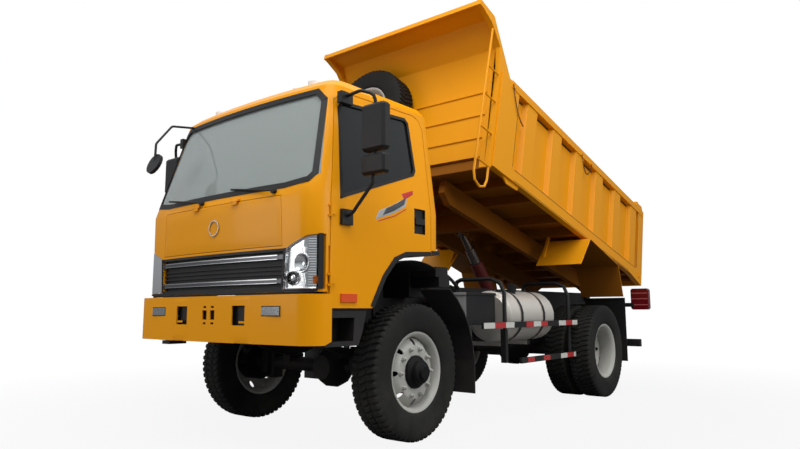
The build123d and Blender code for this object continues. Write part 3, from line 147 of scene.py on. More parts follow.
pl.new(see.outputs[0], pn["Material Output"].inputs["Surface"])
floor.data.materials.append(pale)

# Painted sheet metal: cab, lid, doors, bumper, bed and tailgate.
# Pressed and welded steel sprayed yellow-orange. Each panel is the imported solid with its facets
# merged, its corners rounded as a press leaves them, and a thin coat of road dust low down.
COLOUR, NUMBER = "NodeSocketColor", "NodeSocketFloat"


def effect_group(name, inputs, outputs):
    """A shader node group with the named sockets; each is (name, socket type, start value)."""
    group = bpy.data.node_groups.new(name, "ShaderNodeTree")
    for title, kind, value in inputs:
        socket = group.interface.new_socket(title, in_out="INPUT", socket_type=kind)
        if value is not None:
            socket.default_value = value
    for title, kind in outputs:
        group.interface.new_socket(title, in_out="OUTPUT", socket_type=kind)
    return group, group.nodes.new("NodeGroupInput"), group.nodes.new("NodeGroupOutput")


# Road dust: noise in three sizes, thicker towards the ground, over the coat below it.
dusty, g_in, g_out = effect_group(
    "road_dust",
    [("Coat", COLOUR, (1, 1, 1, 1)), ("Dust", COLOUR, (0.30, 0.25, 0.19, 1)), ("Amount", NUMBER, 0.3),
     ("Reach", NUMBER, 1.2), ("Smooth", NUMBER, 0.3), ("Grain", NUMBER, 40.0)],
    [("Colour", COLOUR), ("Roughness", NUMBER), ("Height", NUMBER)])
dust_nodes = dusty.nodes
dust_links = dusty.links
place = dust_nodes.new("ShaderNodeTexCoord")
split = dust_nodes.new("ShaderNodeSeparateXYZ")
dust_links.new(place.outputs["Object"], split.inputs[0])
low = dust_nodes.new("ShaderNodeMapRange")
low.interpolation_type = "SMOOTHSTEP"
tune(low, {"From Min": 0.0, "To Min": 1.0, "To Max": 0.18})
dust_links.new(split.outputs["Z"], low.inputs["Value"])
dust_links.new(g_in.outputs["Reach"], low.inputs["From Max"])
patches = dust_nodes.new("ShaderNodeTexNoise")
tune(patches, {"Scale": 2.3, "Detail": 7.0, "Roughness": 0.62})
dust_links.new(place.outputs["Object"], patches.inputs["Vector"])
specks = dust_nodes.new("ShaderNodeTexNoise")
tune(specks, {"Detail": 3.0})
dust_links.new(place.outputs["Object"], specks.inputs["Vector"])
dust_links.new(g_in.outputs["Grain"], specks.inputs["Scale"])
spread = dust_nodes.new("ShaderNodeMapRange")
tune(spread, {"From Min": 0.36, "From Max": 0.70})
dust_links.new(patches.outputs["Fac"], spread.inputs["Value"])
steps = []
for factor in (low.outputs[0], g_in.outputs["Amount"]):
    times = dust_nodes.new("ShaderNodeMath")
    times.operation = "MULTIPLY"
    dust_links.new(steps[-1].outputs[0] if steps else spread.outputs[0], times.inputs[0])
    dust_links.new(factor, times.inputs[1])
    steps.append(times)
cover = dust_nodes.new("ShaderNodeMix")
cover.data_type = "RGBA"
dust_links.new(steps[-1].outputs[0], cover.inputs[0])
dust_links.new(g_in.outputs["Coat"], cover.inputs[6])
dust_links.new(g_in.outputs["Dust"], cover.inputs[7])
dust_links.new(cover.outputs[2], g_out.inputs["Colour"])
rough = dust_nodes.new("ShaderNodeMath")
rough.operation = "MULTIPLY_ADD"
rough.inputs[1].default_value = 0.55
dust_links.new(steps[-1].outputs[0], rough.inputs[0])
dust_links.new(g_in.outputs["Smooth"], rough.inputs[2])
dust_links.new(rough.outputs[0], g_out.inputs["Roughness"])
dust_links.new(specks.outputs["Fac"], g_out.inputs["Height"])


def coated(name, colour, smooth, amount, reach=1.2, dust=(0.30, 0.25, 0.19), grain=40.0, bump=0.02,
           metal=0.0, coat=0.0, ior=1.5):
    """A material of one coat colour under road dust, with a fine uneven surface."""
    made = bpy.data.materials.new(name)
    made.use_nodes = True
    nodes = made.node_tree.nodes
    links = made.node_tree.links
    shader = nodes["Principled BSDF"]
    group = nodes.new("ShaderNodeGroup")
    group.node_tree = dusty
    tune(group, {"Coat": (*colour, 1), "Dust": (*dust, 1), "Amount": amount, "Reach": reach,
                 "Smooth": smooth, "Grain": grain})
    links.new(group.outputs["Colour"], shader.inputs["Base Color"])
    links.new(group.outputs["Roughness"], shader.inputs["Roughness"])
    tune(shader, {"Metallic": metal, "Coat Weight": coat, "Coat Roughness": 0.06, "IOR": ior})
    raised = nodes.new("ShaderNodeBump")
    tune(raised, {"Strength": bump, "Distance": 0.002})
    links.new(group.outputs["Height"], raised.inputs["Height"])
    links.new(raised.outputs[0], shader.inputs["Normal"])
    return made


cab_paint = coated("cab_paint", (0.82, 0.318, 0.002), 0.30, 0.02, coat=0.05, grain=160, bump=0.012,
                   ior=1.22)
bed_paint = coated("bed_paint", (0.76, 0.300, 0.003), 0.44, 0.05, reach=2.6, coat=0.03, grain=90,
                   bump=0.05, ior=1.22)
# Bed underside, beams and fender undersides: dark brown, partly the primer's own colour, partly painted
# shade.
bed_underside_primer_and_shade = coated("bed_underside_primer_and_shade", (0.26, 0.085, 0.004), 0.6, 0.05, reach=2.6, grain=90, bump=0.05, ior=1.2)


def recoloured(panel, material, chosen):
    """Gives the faces for which chosen(centres, normals) holds a further material."""
    count = len(panel.data.polygons)
    centres = np.zeros(count * 3)
    normals = np.zeros(count * 3)
    panel.data.polygons.foreach_get("center", centres)
    panel.data.polygons.foreach_get("normal", normals)
    picked = chosen(*centres.reshape(-1, 3).T, *normals.reshape(-1, 3).T)
    index = np.zeros(count, dtype=np.int32)
    panel.data.polygons.foreach_get("material_index", index)
    panel.data.materials.append(material)
    index[picked] = len(panel.data.materials) - 1
    panel.data.polygons.foreach_set("material_index", index)
    return panel


def pressed(node, material, round_by=0.004, angle=28):
    """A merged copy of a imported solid: flat facets joined, edges over the angle rounded."""
    shape = bmesh.new()
    shape.from_mesh(frame["nodes"][node].data)
    bmesh.ops.remove_doubles(shape, verts=shape.verts, dist=2e-5)
    bmesh.ops.dissolve_limit(shape, angle_limit=radians(0.6), verts=shape.verts, edges=shape.edges)
    mesh = bpy.data.meshes.new(node + "_panel")
    shape.to_mesh(mesh)
    shape.free()
    for spare in [a for a in mesh.attributes if a.name in ("custom_normal", "sharp_edge", "sharp_face")]:
        mesh.attributes.remove(spare)
    mesh.materials.clear()
    mesh.materials.append(material)
    mesh.shade_smooth()
    mesh.set_sharp_from_angle(angle=radians(angle))
    panel = bpy.data.objects.new(node + "_panel", mesh)
    bpy.context.collection.objects.link(panel)
    if round_by:
        bevel = panel.modifiers.new("rounded", "BEVEL")
        bevel.width = round_by
        bevel.segments = 2
        bevel.limit_method = "ANGLE"
        bevel.angle_limit = radians(angle)
        bevel.harden_normals = True
        bevel.use_clamp_overlap = True
    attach(panel, body_of[node])
    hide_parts(node)
    return panel


# Places on the panels, from the front axle and the ground, at which the paint gives way.
FACE_Y = AXLE_Y - 1.0785     # the walls of the bumper's openings lie behind this, the badge ring before it
OPENING_REACH = 0.84
BADGE_Z, BADGE_R = 1.505, 0.062
RECESS_Y, RECESS_Z = AXLE_Y + 0.046, 1.583       # middle of the door's handle recess
RECESS_HALF_Y, RECESS_HALF_Z = 0.070, 0.097
BED_SLOPE = 0.2437


def in_recess(x, y, z, *n):
    """Faces of the black plate that stands in the door's handle recess."""
    return (abs(x) > 0.943) & (abs(y - RECESS_Y) < RECESS_HALF_Y) & (abs(z - RECESS_Z) < RECESS_HALF_Z)


def under_floor(x, y, z, *n):
    """Faces of the bed's floor that look down, or lie below its leaning top face."""
    return (n[2] < 0.5) | (z < 2.29 - BED_SLOPE * (y - AXLE_Y - 1.05) - 0.02)


trim_black = coated("trim_black", (0.010, 0.010, 0.011), 0.5, 0.12, reach=1.6, grain=700, bump=0.12,
                    ior=1.35)
badge_silver = coated("badge_silver", (0.55, 0.55, 0.54), 0.25, 0.0, metal=1.0, grain=300)
pressed("cab_shell", cab_paint, 0.005)
# Faces behind the bumper's face, within the openings' reach, are painted black: painted shade in the
# openings.
recoloured(pressed("bumper", cab_paint, 0.005), trim_black,
           lambda x, y, z, *n: (y > FACE_Y) & (abs(x) < OPENING_REACH))
recoloured(pressed("front_lid", cab_paint, 0.004), badge_silver,
           lambda x, y, z, *n: (np.hypot(x, z - BADGE_Z) < BADGE_R) & (y < FACE_Y))
for node in ("door_left", "door_right"):
    recoloured(pressed(node, cab_paint, 0.004), trim_black, in_recess)
for node in ("bed_side_left", "bed_side_right", "bed_front_wall", "tailgate"):
    pressed(node, bed_paint, 0.003)
# The fenders' downward faces, the beams and the floor's underside take that dark brown: primer and painted
# shade.
recoloured(pressed("bed_fenders", bed_paint, 0.003), bed_underside_primer_and_shade,
           lambda x, y, z, *n: (n[2] < -0.2) & (abs(x) < 1.09))
pressed("bed_beams", bed_underside_primer_and_shade, 0.003)
recoloured(pressed("bed_floor", bed_paint, 0.003), bed_underside_primer_and_shade, under_floor)
pressed("bed_ladder", bed_paint, 0)

# Black, grey and bare parts.
# Frame, axles, springs, guards and plastic trim: satin black paint, cast iron and moulded plastic.
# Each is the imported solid, merged, with its edges rounded.
frame_black = coated("frame_black", (0.008, 0.008, 0.009), 0.5, 0.07, reach=1.4, grain=120, bump=0.08,
                     ior=1.35)
axle_black = coated("axle_black", (0.008, 0.008, 0.008), 0.6, 0.10, reach=1.2, grain=220, bump=0.25,
                    ior=1.3)
hoist_red = coated("hoist_red", (0.11, 0.010, 0.008), 0.5, 0.05, reach=2.0, grain=90, bump=0.05)
flap_black = coated("flap_black", (0.008, 0.008, 0.008), 0.7, 0.08, grain=300, bump=0.15, ior=1.25)
tank_metal = coated("tank_metal", (0.68, 0.64, 0.58), 0.42, 0.15, reach=1.5, metal=0.6, grain=60, bump=0.03)
box_grey = coated("box_grey", (0.33, 0.34, 0.34), 0.5, 0.5, reach=1.5, grain=120, bump=0.05)
# The hoist's stage and rod are chromed; their dark base colour is painted shade under the bed.
rod_metal_shaded = coated("rod_metal_shaded", (0.20, 0.17, 0.16), 0.25, 0.1, metal=0.8, grain=200, bump=0.01)
trim_grey = coated("trim_grey", (0.33, 0.32, 0.29), 0.6, 0.0, grain=500, bump=0.1)
seat_cloth = coated("seat_cloth", (0.20, 0.21, 0.22), 0.85, 0.0, grain=900, bump=0.3)
dome_white = coated("dome_white", (0.75, 0.74, 0.72), 0.3, 0.2, grain=90, bump=0.03)
tail_red = coated("tail_red", (0.13, 0.004, 0.008), 0.2, 0.05, coat=0.4, grain=60)
plain = {
    "frame_rails": frame_black, "frame_crossmembers": frame_black, "subframe": frame_black,
    "front_axle": axle_black, "rear_axle": axle_black, "leaf_springs": axle_black,
    "drivetrain": axle_black, "air_tanks": frame_black, "side_guards": frame_black,
    "front_mudguards": trim_black, "entry_steps": trim_black, "cab_brackets": frame_black,
    "rear_bars": frame_black, "tail_lamps": tail_red, "rear_mudflaps": flap_black,
    "cab_floor": trim_black, "dashboard_and_steering": trim_grey, "wipers": trim_black,
    "nose_mirror": trim_black, "roof_lamps": dome_white, "mirrors_left": trim_black,
    "mirrors_right": trim_black, "knuckle_left": axle_black, "knuckle_right": axle_black,
    "hoist_barrel": hoist_red, "hoist_stage": rod_metal_shaded, "hoist_rod": rod_metal_shaded}
for node, material in plain.items():
    pressed(node, material, 0.002)
pressed("seats", seat_cloth, 0.02)
recoloured(pressed("battery_box", frame_black, 0.002), box_grey,
           lambda x, y, z, *n: (n[1] < -0.9) & (x > 0.55))

# Fuel tank: bare metal barrel, with its carrier and the raised faces of its two straps in black.
TANK_X, TANK_Z = 0.745, 0.872
STRAP_Y, STRAP_HALF, STRAP_R = (1.555, 1.985), 0.026, 0.225
tank = recoloured(pressed("fuel_tank", tank_metal, 0.002), frame_black,
                  lambda x, y, z, *n: (z > 1.112) | ((abs(x) < 0.55) & (z < 1.2)) | (z < 0.635))
for strap in STRAP_Y:
    recoloured(tank, frame_black, lambda x, y, z, *n: (abs(y - AXLE_Y - strap) < STRAP_HALF)
               & (np.hypot(x - TANK_X, z - TANK_Z) > STRAP_R))


# Tyres.
# Cross-country tyres, 974 mm high: sixty short skewed blocks on each shoulder that meet in a
# zigzag at the middle, and ribbed sidewalls. Black rubber with patches of grey dust.
TYRE_RADIUS, TREAD_HALF, BLOCKS = 0.487, 0.098, 60
AXLES = {"front": AXLE_Y, "rear": AXLE_Y + 3.130}
TWIN_OUT, TWIN_IN, FRONT_X = 1.020, 0.740, 0.869
SIDES = ((1, "left"), (-1, "right"))


def joined_grids(name, grids, material=None, sharp=32):
    """One mesh from grids of points, each (points, closed along u, closed along v).

    Point (a, b) of an (m, n) grid has number a n + b, and a quad joins it to its next neighbours.
    """
    points, quads, start = [], [], 0
    for grid, round_u, round_v in grids:
        m, n = grid.shape[:2]
        rows = np.arange(m if round_u else m - 1)
        cols = np.arange(n if round_v else n - 1)
        a, b = np.meshgrid(rows, cols, indexing="ij")
        a2, b2 = (a + 1) % m, (b + 1) % n
        corners = [a * n + b, a2 * n + b, a2 * n + b2, a * n + b2]
        quads.append(start + np.stack(corners, axis=-1).reshape(-1, 4))
        points.append(grid.reshape(-1, 3))
        start += m * n
    return solid_mesh(name, np.concatenate(points), np.concatenate(quads), material, sharp)


def grid_mesh(name, points, round_u=False, round_v=False, material=None, sharp=32):
    """A surface over one (m, n, 3) grid of points, closed where asked."""
    return joined_grids(name, [(points, round_u, round_v)], material, sharp)


def solid_mesh(name, points, quads, material=None, sharp=32):
    """A mesh object from an array of points and an array of four-cornered faces."""
    mesh = bpy.data.meshes.new(name)
    mesh.vertices.add(len(points))
    mesh.vertices.foreach_set("co", np.asarray(points, dtype=np.float32).ravel())
    mesh.loops.add(quads.size)
    mesh.loops.foreach_set("vertex_index", quads.astype(np.int32).ravel())
    mesh.polygons.add(len(quads))
    mesh.polygons.foreach_set("loop_start", np.arange(0, quads.size, quads.shape[1], dtype=np.int32))
    mesh.update(calc_edges=True)
    mesh.validate()
    mesh.shade_smooth()
    mesh.set_sharp_from_angle(angle=radians(sharp))
    if material:
        mesh.materials.append(material)
    made = bpy.data.objects.new(name, mesh)
    bpy.context.collection.objects.link(made)
    return made


def settle(made, body, slot_name, *stands_for):
    """Joins a piece to its CAD body, in place of the named nodes; slot_name is not used."""
    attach(made, body)
    if stands_for:
        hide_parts(*stands_for)
    return made


def placed(points, x, y, z, turn_x=0.0, turn_z=0.0):
    """Points turned about Z, then about X, then moved."""
    cz, sz, cx, sx = np.cos(turn_z), np.sin(turn_z), np.cos(turn_x), np.sin(turn_x)
    about_z = np.array([[cz, -sz, 0], [sz, cz, 0], [0, 0, 1]])
    about_x = np.array([[1, 0, 0], [0, cx, -sx], [0, sx, cx]])
    return points @ (about_x @ about_z).T + np.array([x, y, z])


# The spare wheel stands on the bed's front wall, so it leans with the bed.
BED_TILT = radians(-13.7)
BED_FOOT = np.array([0.0, 1.025 + AXLE_Y, 2.183])
SPARE_AT = (-0.440, -0.152, 0.712)


def on_bed(points):
    """Points from the bed's own frame (x, s rearwards, h up) into the truck's."""
    return placed(points, *BED_FOOT, turn_x=BED_TILT)


def spare_place(points):
    """Wheel points from about their own middle onto the bed's front wall."""
    return on_bed(placed(points, *SPARE_AT, turn_z=radians(90)))


def tyre_points():
    """Tyre about X: radius(x) is a smooth sidewall and crown; blocks add up to 12 mm over it.

    theta = (2 pi i / 8 + skew(x)) / BLOCKS, and the block height depends on i mod 8 alone, so the
    blocks' edges run along the grid lines. skew(x) = a quarter pitch towards each side + a slant.
    """
    x_side = np.array([79, 88, 97, 103.5, 108, 112, 115, 117, 117.6, 117, 115, 111, 106.5, 102]) / 1000
    r_side = np.array([262, 280, 289.5, 296, 308, 325, 347, 372, 395, 417, 436, 452, 463, 469]) / 1000
    x_tread = np.array([98, 96, 90, 75, 58, 44, 40.5, 34, 30.5, 20, 8, 4]) / 1000
    r_tread = np.array([471, 473, 474, 474.3, 474.5, 474.6, 474.6, 474.6, 474.6, 474.7, 474.8,
                        474.8]) / 1000
    x = np.concatenate([x_side, x_tread])
    r = np.concatenate([r_side, r_tread])
    lift = np.concatenate([np.zeros(9), [0, 0.0015, 0.005, 0.008, 0.0105], [0.012] * 6, [0.002] * 2,
                           [0.012] * 4])
    x = np.concatenate([x, -x[::-1]])
    r = np.concatenate([r, r[::-1]])
    lift = np.concatenate([lift[:len(x) // 2], lift[:len(x) // 2][::-1]])
    i = np.arange(BLOCKS * 8)
    block = np.array([0, 1, 1, 1, 1, 1, 0, 0])[i % 8]
    skew = 0.25 * np.clip(x / 0.030, -1, 1) + 0.35 * np.clip(np.abs(x) / TREAD_HALF, 0, 1) ** 1.5
    theta = 2 * np.pi * (i[:, None] / 8 + skew[None, :]) / BLOCKS
    radius = r[None, :] + lift[None, :] * block[:, None]
    across = np.broadcast_to(x, theta.shape)
    return np.stack([across, radius * np.sin(theta), radius * np.cos(theta)], axis=-1)


rubber = coated("tyre_rubber", (0.010, 0.010, 0.009), 0.72, 0.25, reach=1.3, dust=(0.12, 0.115, 0.10),
                grain=260, bump=0.18, ior=1.25)
tyre = tyre_points()
for side, name in SIDES:
    front = placed(tyre * [side, 1, 1], side * FRONT_X, AXLES["front"], TYRE_RADIUS)
    settle(grid_mesh("front_tyre_" + name + "_tread", front, round_u=True, material=rubber),
           "wheel_front_" + name, "tyre_rubber", "front_tyre_" + name)
    for number, x in enumerate((TWIN_OUT, TWIN_IN)):
        twin = placed(tyre * [side, 1, 1], side * x, AXLES["rear"], TYRE_RADIUS)
        made = grid_mesh("rear_tyre_" + name + "_tread_" + str(number), twin, round_u=True, material=rubber)
        stands_for = ["rear_tyres_" + name] if number == 0 else []
        settle(made, "wheels_rear_" + name, "tyre_rubber", *stands_for)
settle(grid_mesh("spare_tyre_tread", spare_place(tyre), round_u=True, material=rubber),
       "bed", "tyre_rubber", "spare_tyre")

# Wheels.
# Pressed steel, light grey: a rim with rolled edges, a dished disc with eight oval hand holes and
# ten nuts on a 335 mm circle, and the black cast hub with its cap standing out of the middle.
RIM_HALF, FLANGE_R, WELL_R, DISC_FLAT_R, HUB_R = 0.098, 0.287, 0.250, 0.186, 0.118
HOLE_AT, HOLE_LONG, HOLE_WIDE, NUT_R = 0.212, 0.026, 0.018, 0.1675


def lathe(profile, count=96, start=0.0):
    """Points of a profile of (radius, x) corners turned about X."""
    profile = np.asarray(profile, dtype=float)
    angle = start + 2 * np.pi * np.arange(count) / count
    angle = angle[:, None]
    x = np.broadcast_to(profile[:, 1], (count, len(profile)))
    return np.stack([x, profile[:, 0] * np.sin(angle), profile[:, 0] * np.cos(angle)], axis=-1)


def dish(radius, disc_at):
    """Height of the disc over the wheel's middle: flat inside, falling 60 mm to the rim."""
    t = np.clip((radius - DISC_FLAT_R) / (WELL_R - DISC_FLAT_R), 0, 1)
    return disc_at - 0.060 * t ** 1.3


def holed_disc(disc_at, thick):
    """Ring of the disc between hub and rim, as eight patches, each from its hole's edge outwards.

    A patch point is (1 - s) hole(phi) + s border(phi), in (arc length, radius) about the hole's middle.
    The grid goes on 8 mm into the hole to give the sheet its edge.
    """
    half = np.pi / 8
    phi = np.linspace(0, 2 * np.pi, 65)[:-1]
    c, s = np.cos(phi), np.sin(phi)
    hole = np.stack([HOLE_WIDE * c, HOLE_LONG * s], axis=-1)
    reach_u = half / np.maximum(np.abs(c), 1e-6)
    up, down = WELL_R - HOLE_AT, HOLE_AT - HUB_R
    reach_v = np.where(s > 0, up, down) / np.maximum(np.abs(s), 1e-6) / HOLE_AT
    reach = np.minimum(reach_u, reach_v) * HOLE_AT
    border = np.stack([reach * c, reach * s], axis=-1)
    steps = np.array([0.0, 0.0, 0.06, 0.2, 0.4, 0.6, 0.8, 1.0])
    flat = hole[:, None] * (1 - steps)[None, :, None] + border[:, None] * steps[None, :, None]
    radius = HOLE_AT + flat[..., 1]
    height = dish(radius, disc_at)
    height[:, 0] -= thick
    sectors = []
    for k in range(8):
        angle = flat[..., 0] / HOLE_AT + k * np.pi / 4
        sectors.append(np.stack([height, radius * np.sin(angle), radius * np.cos(angle)], axis=-1))
    return sectors


def wheel_grids(disc_at, flip=1):
    """Rim and disc. flip -1 turns the disc's dish the other way, as on the outer twin wheel."""
    d = disc_at
    f, w = FLANGE_R, RIM_HALF
    rim = lathe([(f - 0.003, -w), (f, -w + 0.003), (f - 0.004, -w + 0.008), (0.2625, -w + 0.018),
                 (0.2605, -w + 0.03), (0.2605, w - 0.03), (0.2625, w - 0.018), (f - 0.004, w - 0.008),
                 (f, w - 0.003), (f - 0.003, w), (f - 0.010, w - 0.001), (0.262, w - 0.012),
                 (0.254, w - 0.03), (WELL_R, w - 0.04), (WELL_R, -w + 0.04), (0.254, -w + 0.03),
                 (0.262, -w + 0.012), (f - 0.010, -w + 0.001)])
    back = lathe([(HUB_R, d - 0.012), (HOLE_AT - HOLE_LONG - 0.004, d - 0.012)])
    grids = [(rim, True, True), (back, True, False)]
    grids += [(sector, True, False) for sector in holed_disc(d, 0.010)]
    turn = np.array([flip, 1, 1])
    return [(grid * turn, u, v) for grid, u, v in grids]


def nut_grids(face, count=10):
    """Hexagonal nuts on the nut circle, each over a round washer and round the end of its stud.

    Rings are (radius, height); a radius of 1 stands for the hexagon, 30 mm over its corners.
    """
    phi = 2 * np.pi * np.arange(24) / 24
    hexagon = 0.0150 * np.cos(np.pi / 6) / np.cos((phi % (np.pi / 3)) - np.pi / 6)
    rings = np.array([[0.019, 0.000], [0.019, 0.004], [1.0, 0.004], [1.0, 0.019], [0.009, 0.023],
                      [0.0085, 0.034], [0.0001, 0.035]])
    radius = np.where(rings[:, 0] == 1.0, hexagon[:, None], rings[:, 0])
    out = np.broadcast_to(face + rings[:, 1], radius.shape)
    grids = []
    for k in range(count):
        a = 2 * np.pi * (k + 0.5) / count
        y = NUT_R * np.sin(a) + radius * np.sin(phi)[:, None]
        z = NUT_R * np.cos(a) + radius * np.cos(phi)[:, None]
        grids.append((np.stack([out, y, z], axis=-1), True, False))
    return grids


rim_grey = coated("rim_grey", (0.42, 0.415, 0.38), 0.45, 0.30, reach=1.2, dust=(0.20, 0.18, 0.15),
                  grain=120, bump=0.05)
hub_black = coated("hub_black", (0.004, 0.004, 0.005), 0.6, 0.03, reach=1.2, grain=160, bump=0.1, ior=1.25)
front_hub = lathe([(0.0001, 0.176), (0.046, 0.176), (0.052, 0.172), (0.056, 0.158), (0.062, 0.154),
                   (0.076, 0.150), (0.082, 0.142), (0.084, 0.112), (0.100, 0.104), (0.112, 0.098),
                   (HUB_R - 0.002, 0.090), (HUB_R, 0.078), (0.150, 0.066), (0.158, 0.050),
                   (0.158, -0.078), (0.060, -0.078)], 48)
rear_hub = lathe([(0.0001, 0.066), (0.046, 0.066), (0.054, 0.062), (0.058, 0.030), (0.082, 0.022),
                  (0.084, 0.006), (0.104, 0.000), (HUB_R, -0.010), (HUB_R, -0.020), (0.158, -0.030),
                  (0.158, -0.190), (0.060, -0.190)], 48)
FRONT_DISC, TWIN_DISC = 0.078, 0.131       # how far each disc stands out from its rim's middle
TWIN_FACE = (TWIN_OUT + TWIN_IN) / 2 + 0.020


def moved(grids, x):
    """Grids moved by x along the axle."""
    return [(points + [x, 0, 0], u, v) for points, u, v in grids]


for side, name in SIDES:
    mirror = np.array([side, 1, 1])
    grids = wheel_grids(FRONT_DISC) + nut_grids(FRONT_DISC)
    grids = [(placed(g * mirror, side * FRONT_X, AXLES["front"], TYRE_RADIUS), u, v) for g, u, v in grids]
    made = joined_grids("front_rim_" + name + "_steel", grids, rim_grey)
    settle(made, "wheel_front_" + name, "rim_paint", "front_rim_" + name)
    hub = placed(front_hub * mirror, side * FRONT_X, AXLES["front"], TYRE_RADIUS)
    made = grid_mesh("front_hub_" + name, hub, round_u=True, material=hub_black)
    settle(made, "wheel_front_" + name, "axle_iron")
    grids = moved(wheel_grids(TWIN_DISC, -1), TWIN_OUT) + moved(wheel_grids(TWIN_DISC), TWIN_IN)
    grids += moved(nut_grids(0.0), TWIN_FACE)
    grids = [(placed(g * mirror, 0, AXLES["rear"], TYRE_RADIUS), u, v) for g, u, v in grids]
    made = joined_grids("rear_rims_" + name + "_steel", grids, rim_grey)
    settle(made, "wheels_rear_" + name, "rim_paint", "rear_rims_" + name)
    hub = placed((rear_hub + [TWIN_FACE, 0, 0]) * mirror, 0, AXLES["rear"], TYRE_RADIUS)
    made = grid_mesh("rear_hub_" + name, hub, round_u=True, material=hub_black)
    settle(made, "wheels_rear_" + name, "axle_iron")
grids = [(spare_place(g), u, v) for g, u, v in wheel_grids(FRONT_DISC)]
settle(joined_grids("spare_rim_steel", grids, rim_grey), "bed", "rim_paint", "spare_rim")

# Glass: windscreen, rear window and door windows.
# Laminated and toughened sheets, slightly green-grey, seen through to the cab.
sheets = {}
for name, colour, clear in (("windscreen_glass", (0.60, 0.66, 0.63), 0.62),
                            ("side_glass", (0.025, 0.03, 0.03), 0.60)):
    glass = bpy.data.materials.new(name)
    glass.use_nodes = True
    tune(glass.node_tree.nodes["Principled BSDF"],
         {"Base Color": (*colour, 1), "Roughness": 0.03, "Transmission Weight": clear, "IOR": 1.45})
    sheets[name] = glass
pressed("cab_glass", sheets["windscreen_glass"], 0)
for node in ("door_glass_left", "door_glass_right"):
    pressed(node, sheets["side_glass"], 0)

# Cab front: rubber windscreen seal, bright grille strips, the sill and the shut line over the bumper.
# The front is followed by nose(s, z, depth): s runs level along the skin from the middle, round the
# 135 mm front corner, and depth goes inwards from the skin. The bow of the nose is 42 mm.
NOSE_FLAT, CORNER_R = 0.831, 0.135       # half width before the corner's bend, and the bend
BELT_Z, GLASS_TALL = 1.660, 0.795        # above the belt line the cab leans in over this height


def nose(s, z, depth):
    """Skin of the cab front: a parabola of 42 mm bow, then a quarter circle round each corner."""
    s, z, depth = (np.asarray(values, float) for values in np.broadcast_arrays(s, z, depth))
    t = np.clip((z - BELT_Z) / GLASS_TALL, 0, 1)
    wide, front, turn = 0.966 - 0.094 * t, -1.035 + 0.235 * t, CORNER_R - 0.025 * t
    half = wide - turn
    phi = np.clip((np.abs(s) - half) / turn, 0, 1.6)
    x = np.where(phi > 0, half + (turn - depth) * np.sin(phi), np.abs(s))
    bowed = front - 0.042 * (1 - (s / half) ** 2) + depth
    y = np.where(phi > 0, front + turn - (turn - depth) * np.cos(phi), bowed)
    return np.stack([np.sign(s + 1e-9) * x, y + AXLE_Y, z], axis=-1)


def cab_side(y, z, depth):
    """Skin of the cab side, leaning in above the belt line."""
    y, z, depth = (np.asarray(values, float) for values in np.broadcast_arrays(y, z, depth))
    t = np.clip((z - BELT_Z) / GLASS_TALL, 0, 1)
    x = 0.966 - 0.006 * np.clip((BELT_Z - z) / 0.718, 0, 1) - 0.094 * t - depth
    return np.stack([x, y + AXLE_Y, z], axis=-1)


def band(name, corners, inside, outside, skin, material, rise=0.003, closed=True, side=1):
    """A flat strip that follows corners on a skin, from inside to outside of the line.

    The line is divided every 30 mm; each point moves along the line's normal, lengthened at bends.
    """
    c = np.asarray(corners, float)
    if closed:
        c = np.vstack([c, c[:1]])
    length = np.concatenate([[0], np.cumsum(np.hypot(*np.diff(c, axis=0).T))])
    at = np.unique(np.concatenate([length, np.arange(0, length[-1], 0.03)]))
    line = np.stack([np.interp(at, length, c[:, 0]), np.interp(at, length, c[:, 1])], axis=-1)
    along = np.diff(line, axis=0)
    along /= np.hypot(*along.T)[:, None]
    if closed:
        before, after, line = np.roll(along, 1, axis=0), along, line[:-1]
    else:
        before, after = np.vstack([along[:1], along]), np.vstack([along, along[-1:]])
    mean = before + after
    mean /= np.hypot(*mean.T)[:, None]
    mean /= np.maximum((mean * after).sum(axis=1), 0.5)[:, None]
    normal = np.stack([mean[:, 1], -mean[:, 0]], axis=-1)
    off = np.array([inside, inside, outside, outside])
    deep = np.array([0.004, -rise, -rise, 0.004])
    flat = line[:, None] + normal[:, None] * off[None, :, None]
    points = skin(flat[..., 0], flat[..., 1], deep[None, :]) * [side, 1, 1]
    return grid_mesh(name, points, round_u=closed, round_v=True, material=material)


windscreen = [(-0.925, 1.800), (-0.880, 1.745), (-0.680, 1.722), (0.680, 1.722), (0.880, 1.745),
              (0.925, 1.800), (0.845, 2.345), (0.760, 2.425), (-0.760, 2.425), (-0.845, 2.345)]
settle(band("windscreen_seal", windscreen, -0.034, 0.006, nose, trim_black, 0.002), "cab", "black_plastic")
strip_silver = coated("strip_silver", (0.50, 0.50, 0.50), 0.28, 0.0, metal=1.0, grain=300)
s = np.linspace(-0.655, 0.655, 41)[:, None]
grids = []
for z, tall in ((1.283, 0.007), (1.257, 0.004), (1.130, 0.007), (1.104, 0.004)):
    lines = np.array([[z - tall, 0.003], [z - tall, -0.001], [z, -0.001], [z + 0.001, 0.003]])
    grids.append((nose(s, lines[None, :, 0], lines[None, :, 1]), False, False))
settle(joined_grids("grille_strips", grids, strip_silver), body_of["grille"], "chrome")
bar_grey = coated("bar_grey", (0.10, 0.10, 0.11), 0.35, 0.0, metal=0.6, grain=300)
recoloured(pressed("grille", trim_black, 0.002), bar_grey,
           lambda x, y, z, *n: ((abs(z - 1.268) < 0.016) | (abs(z - 1.115) < 0.016)) & (n[1] < -0.3))
# sections of the sill and of the shut line over it, as (z, depth)
lip = np.array([[1.033, 0.030], [1.033, 0.010], [1.048, 0.010], [1.048, 0.030]])
points = nose(np.linspace(-0.94, 0.94, 61)[:, None], lip[None, :, 0], lip[None, :, 1])
settle(grid_mesh("sill_cover", points, round_v=True, material=trim_black), "cab", "black_plastic")
lines = np.array([[1.046, 0.004], [1.046, -0.001], [1.060, -0.001], [1.060, 0.004]])
points = nose(np.linspace(-0.97, 0.97, 61)[:, None], lines[None, :, 0], lines[None, :, 1])
settle(grid_mesh("shut_line", points, material=trim_black), "cab", "black_plastic")

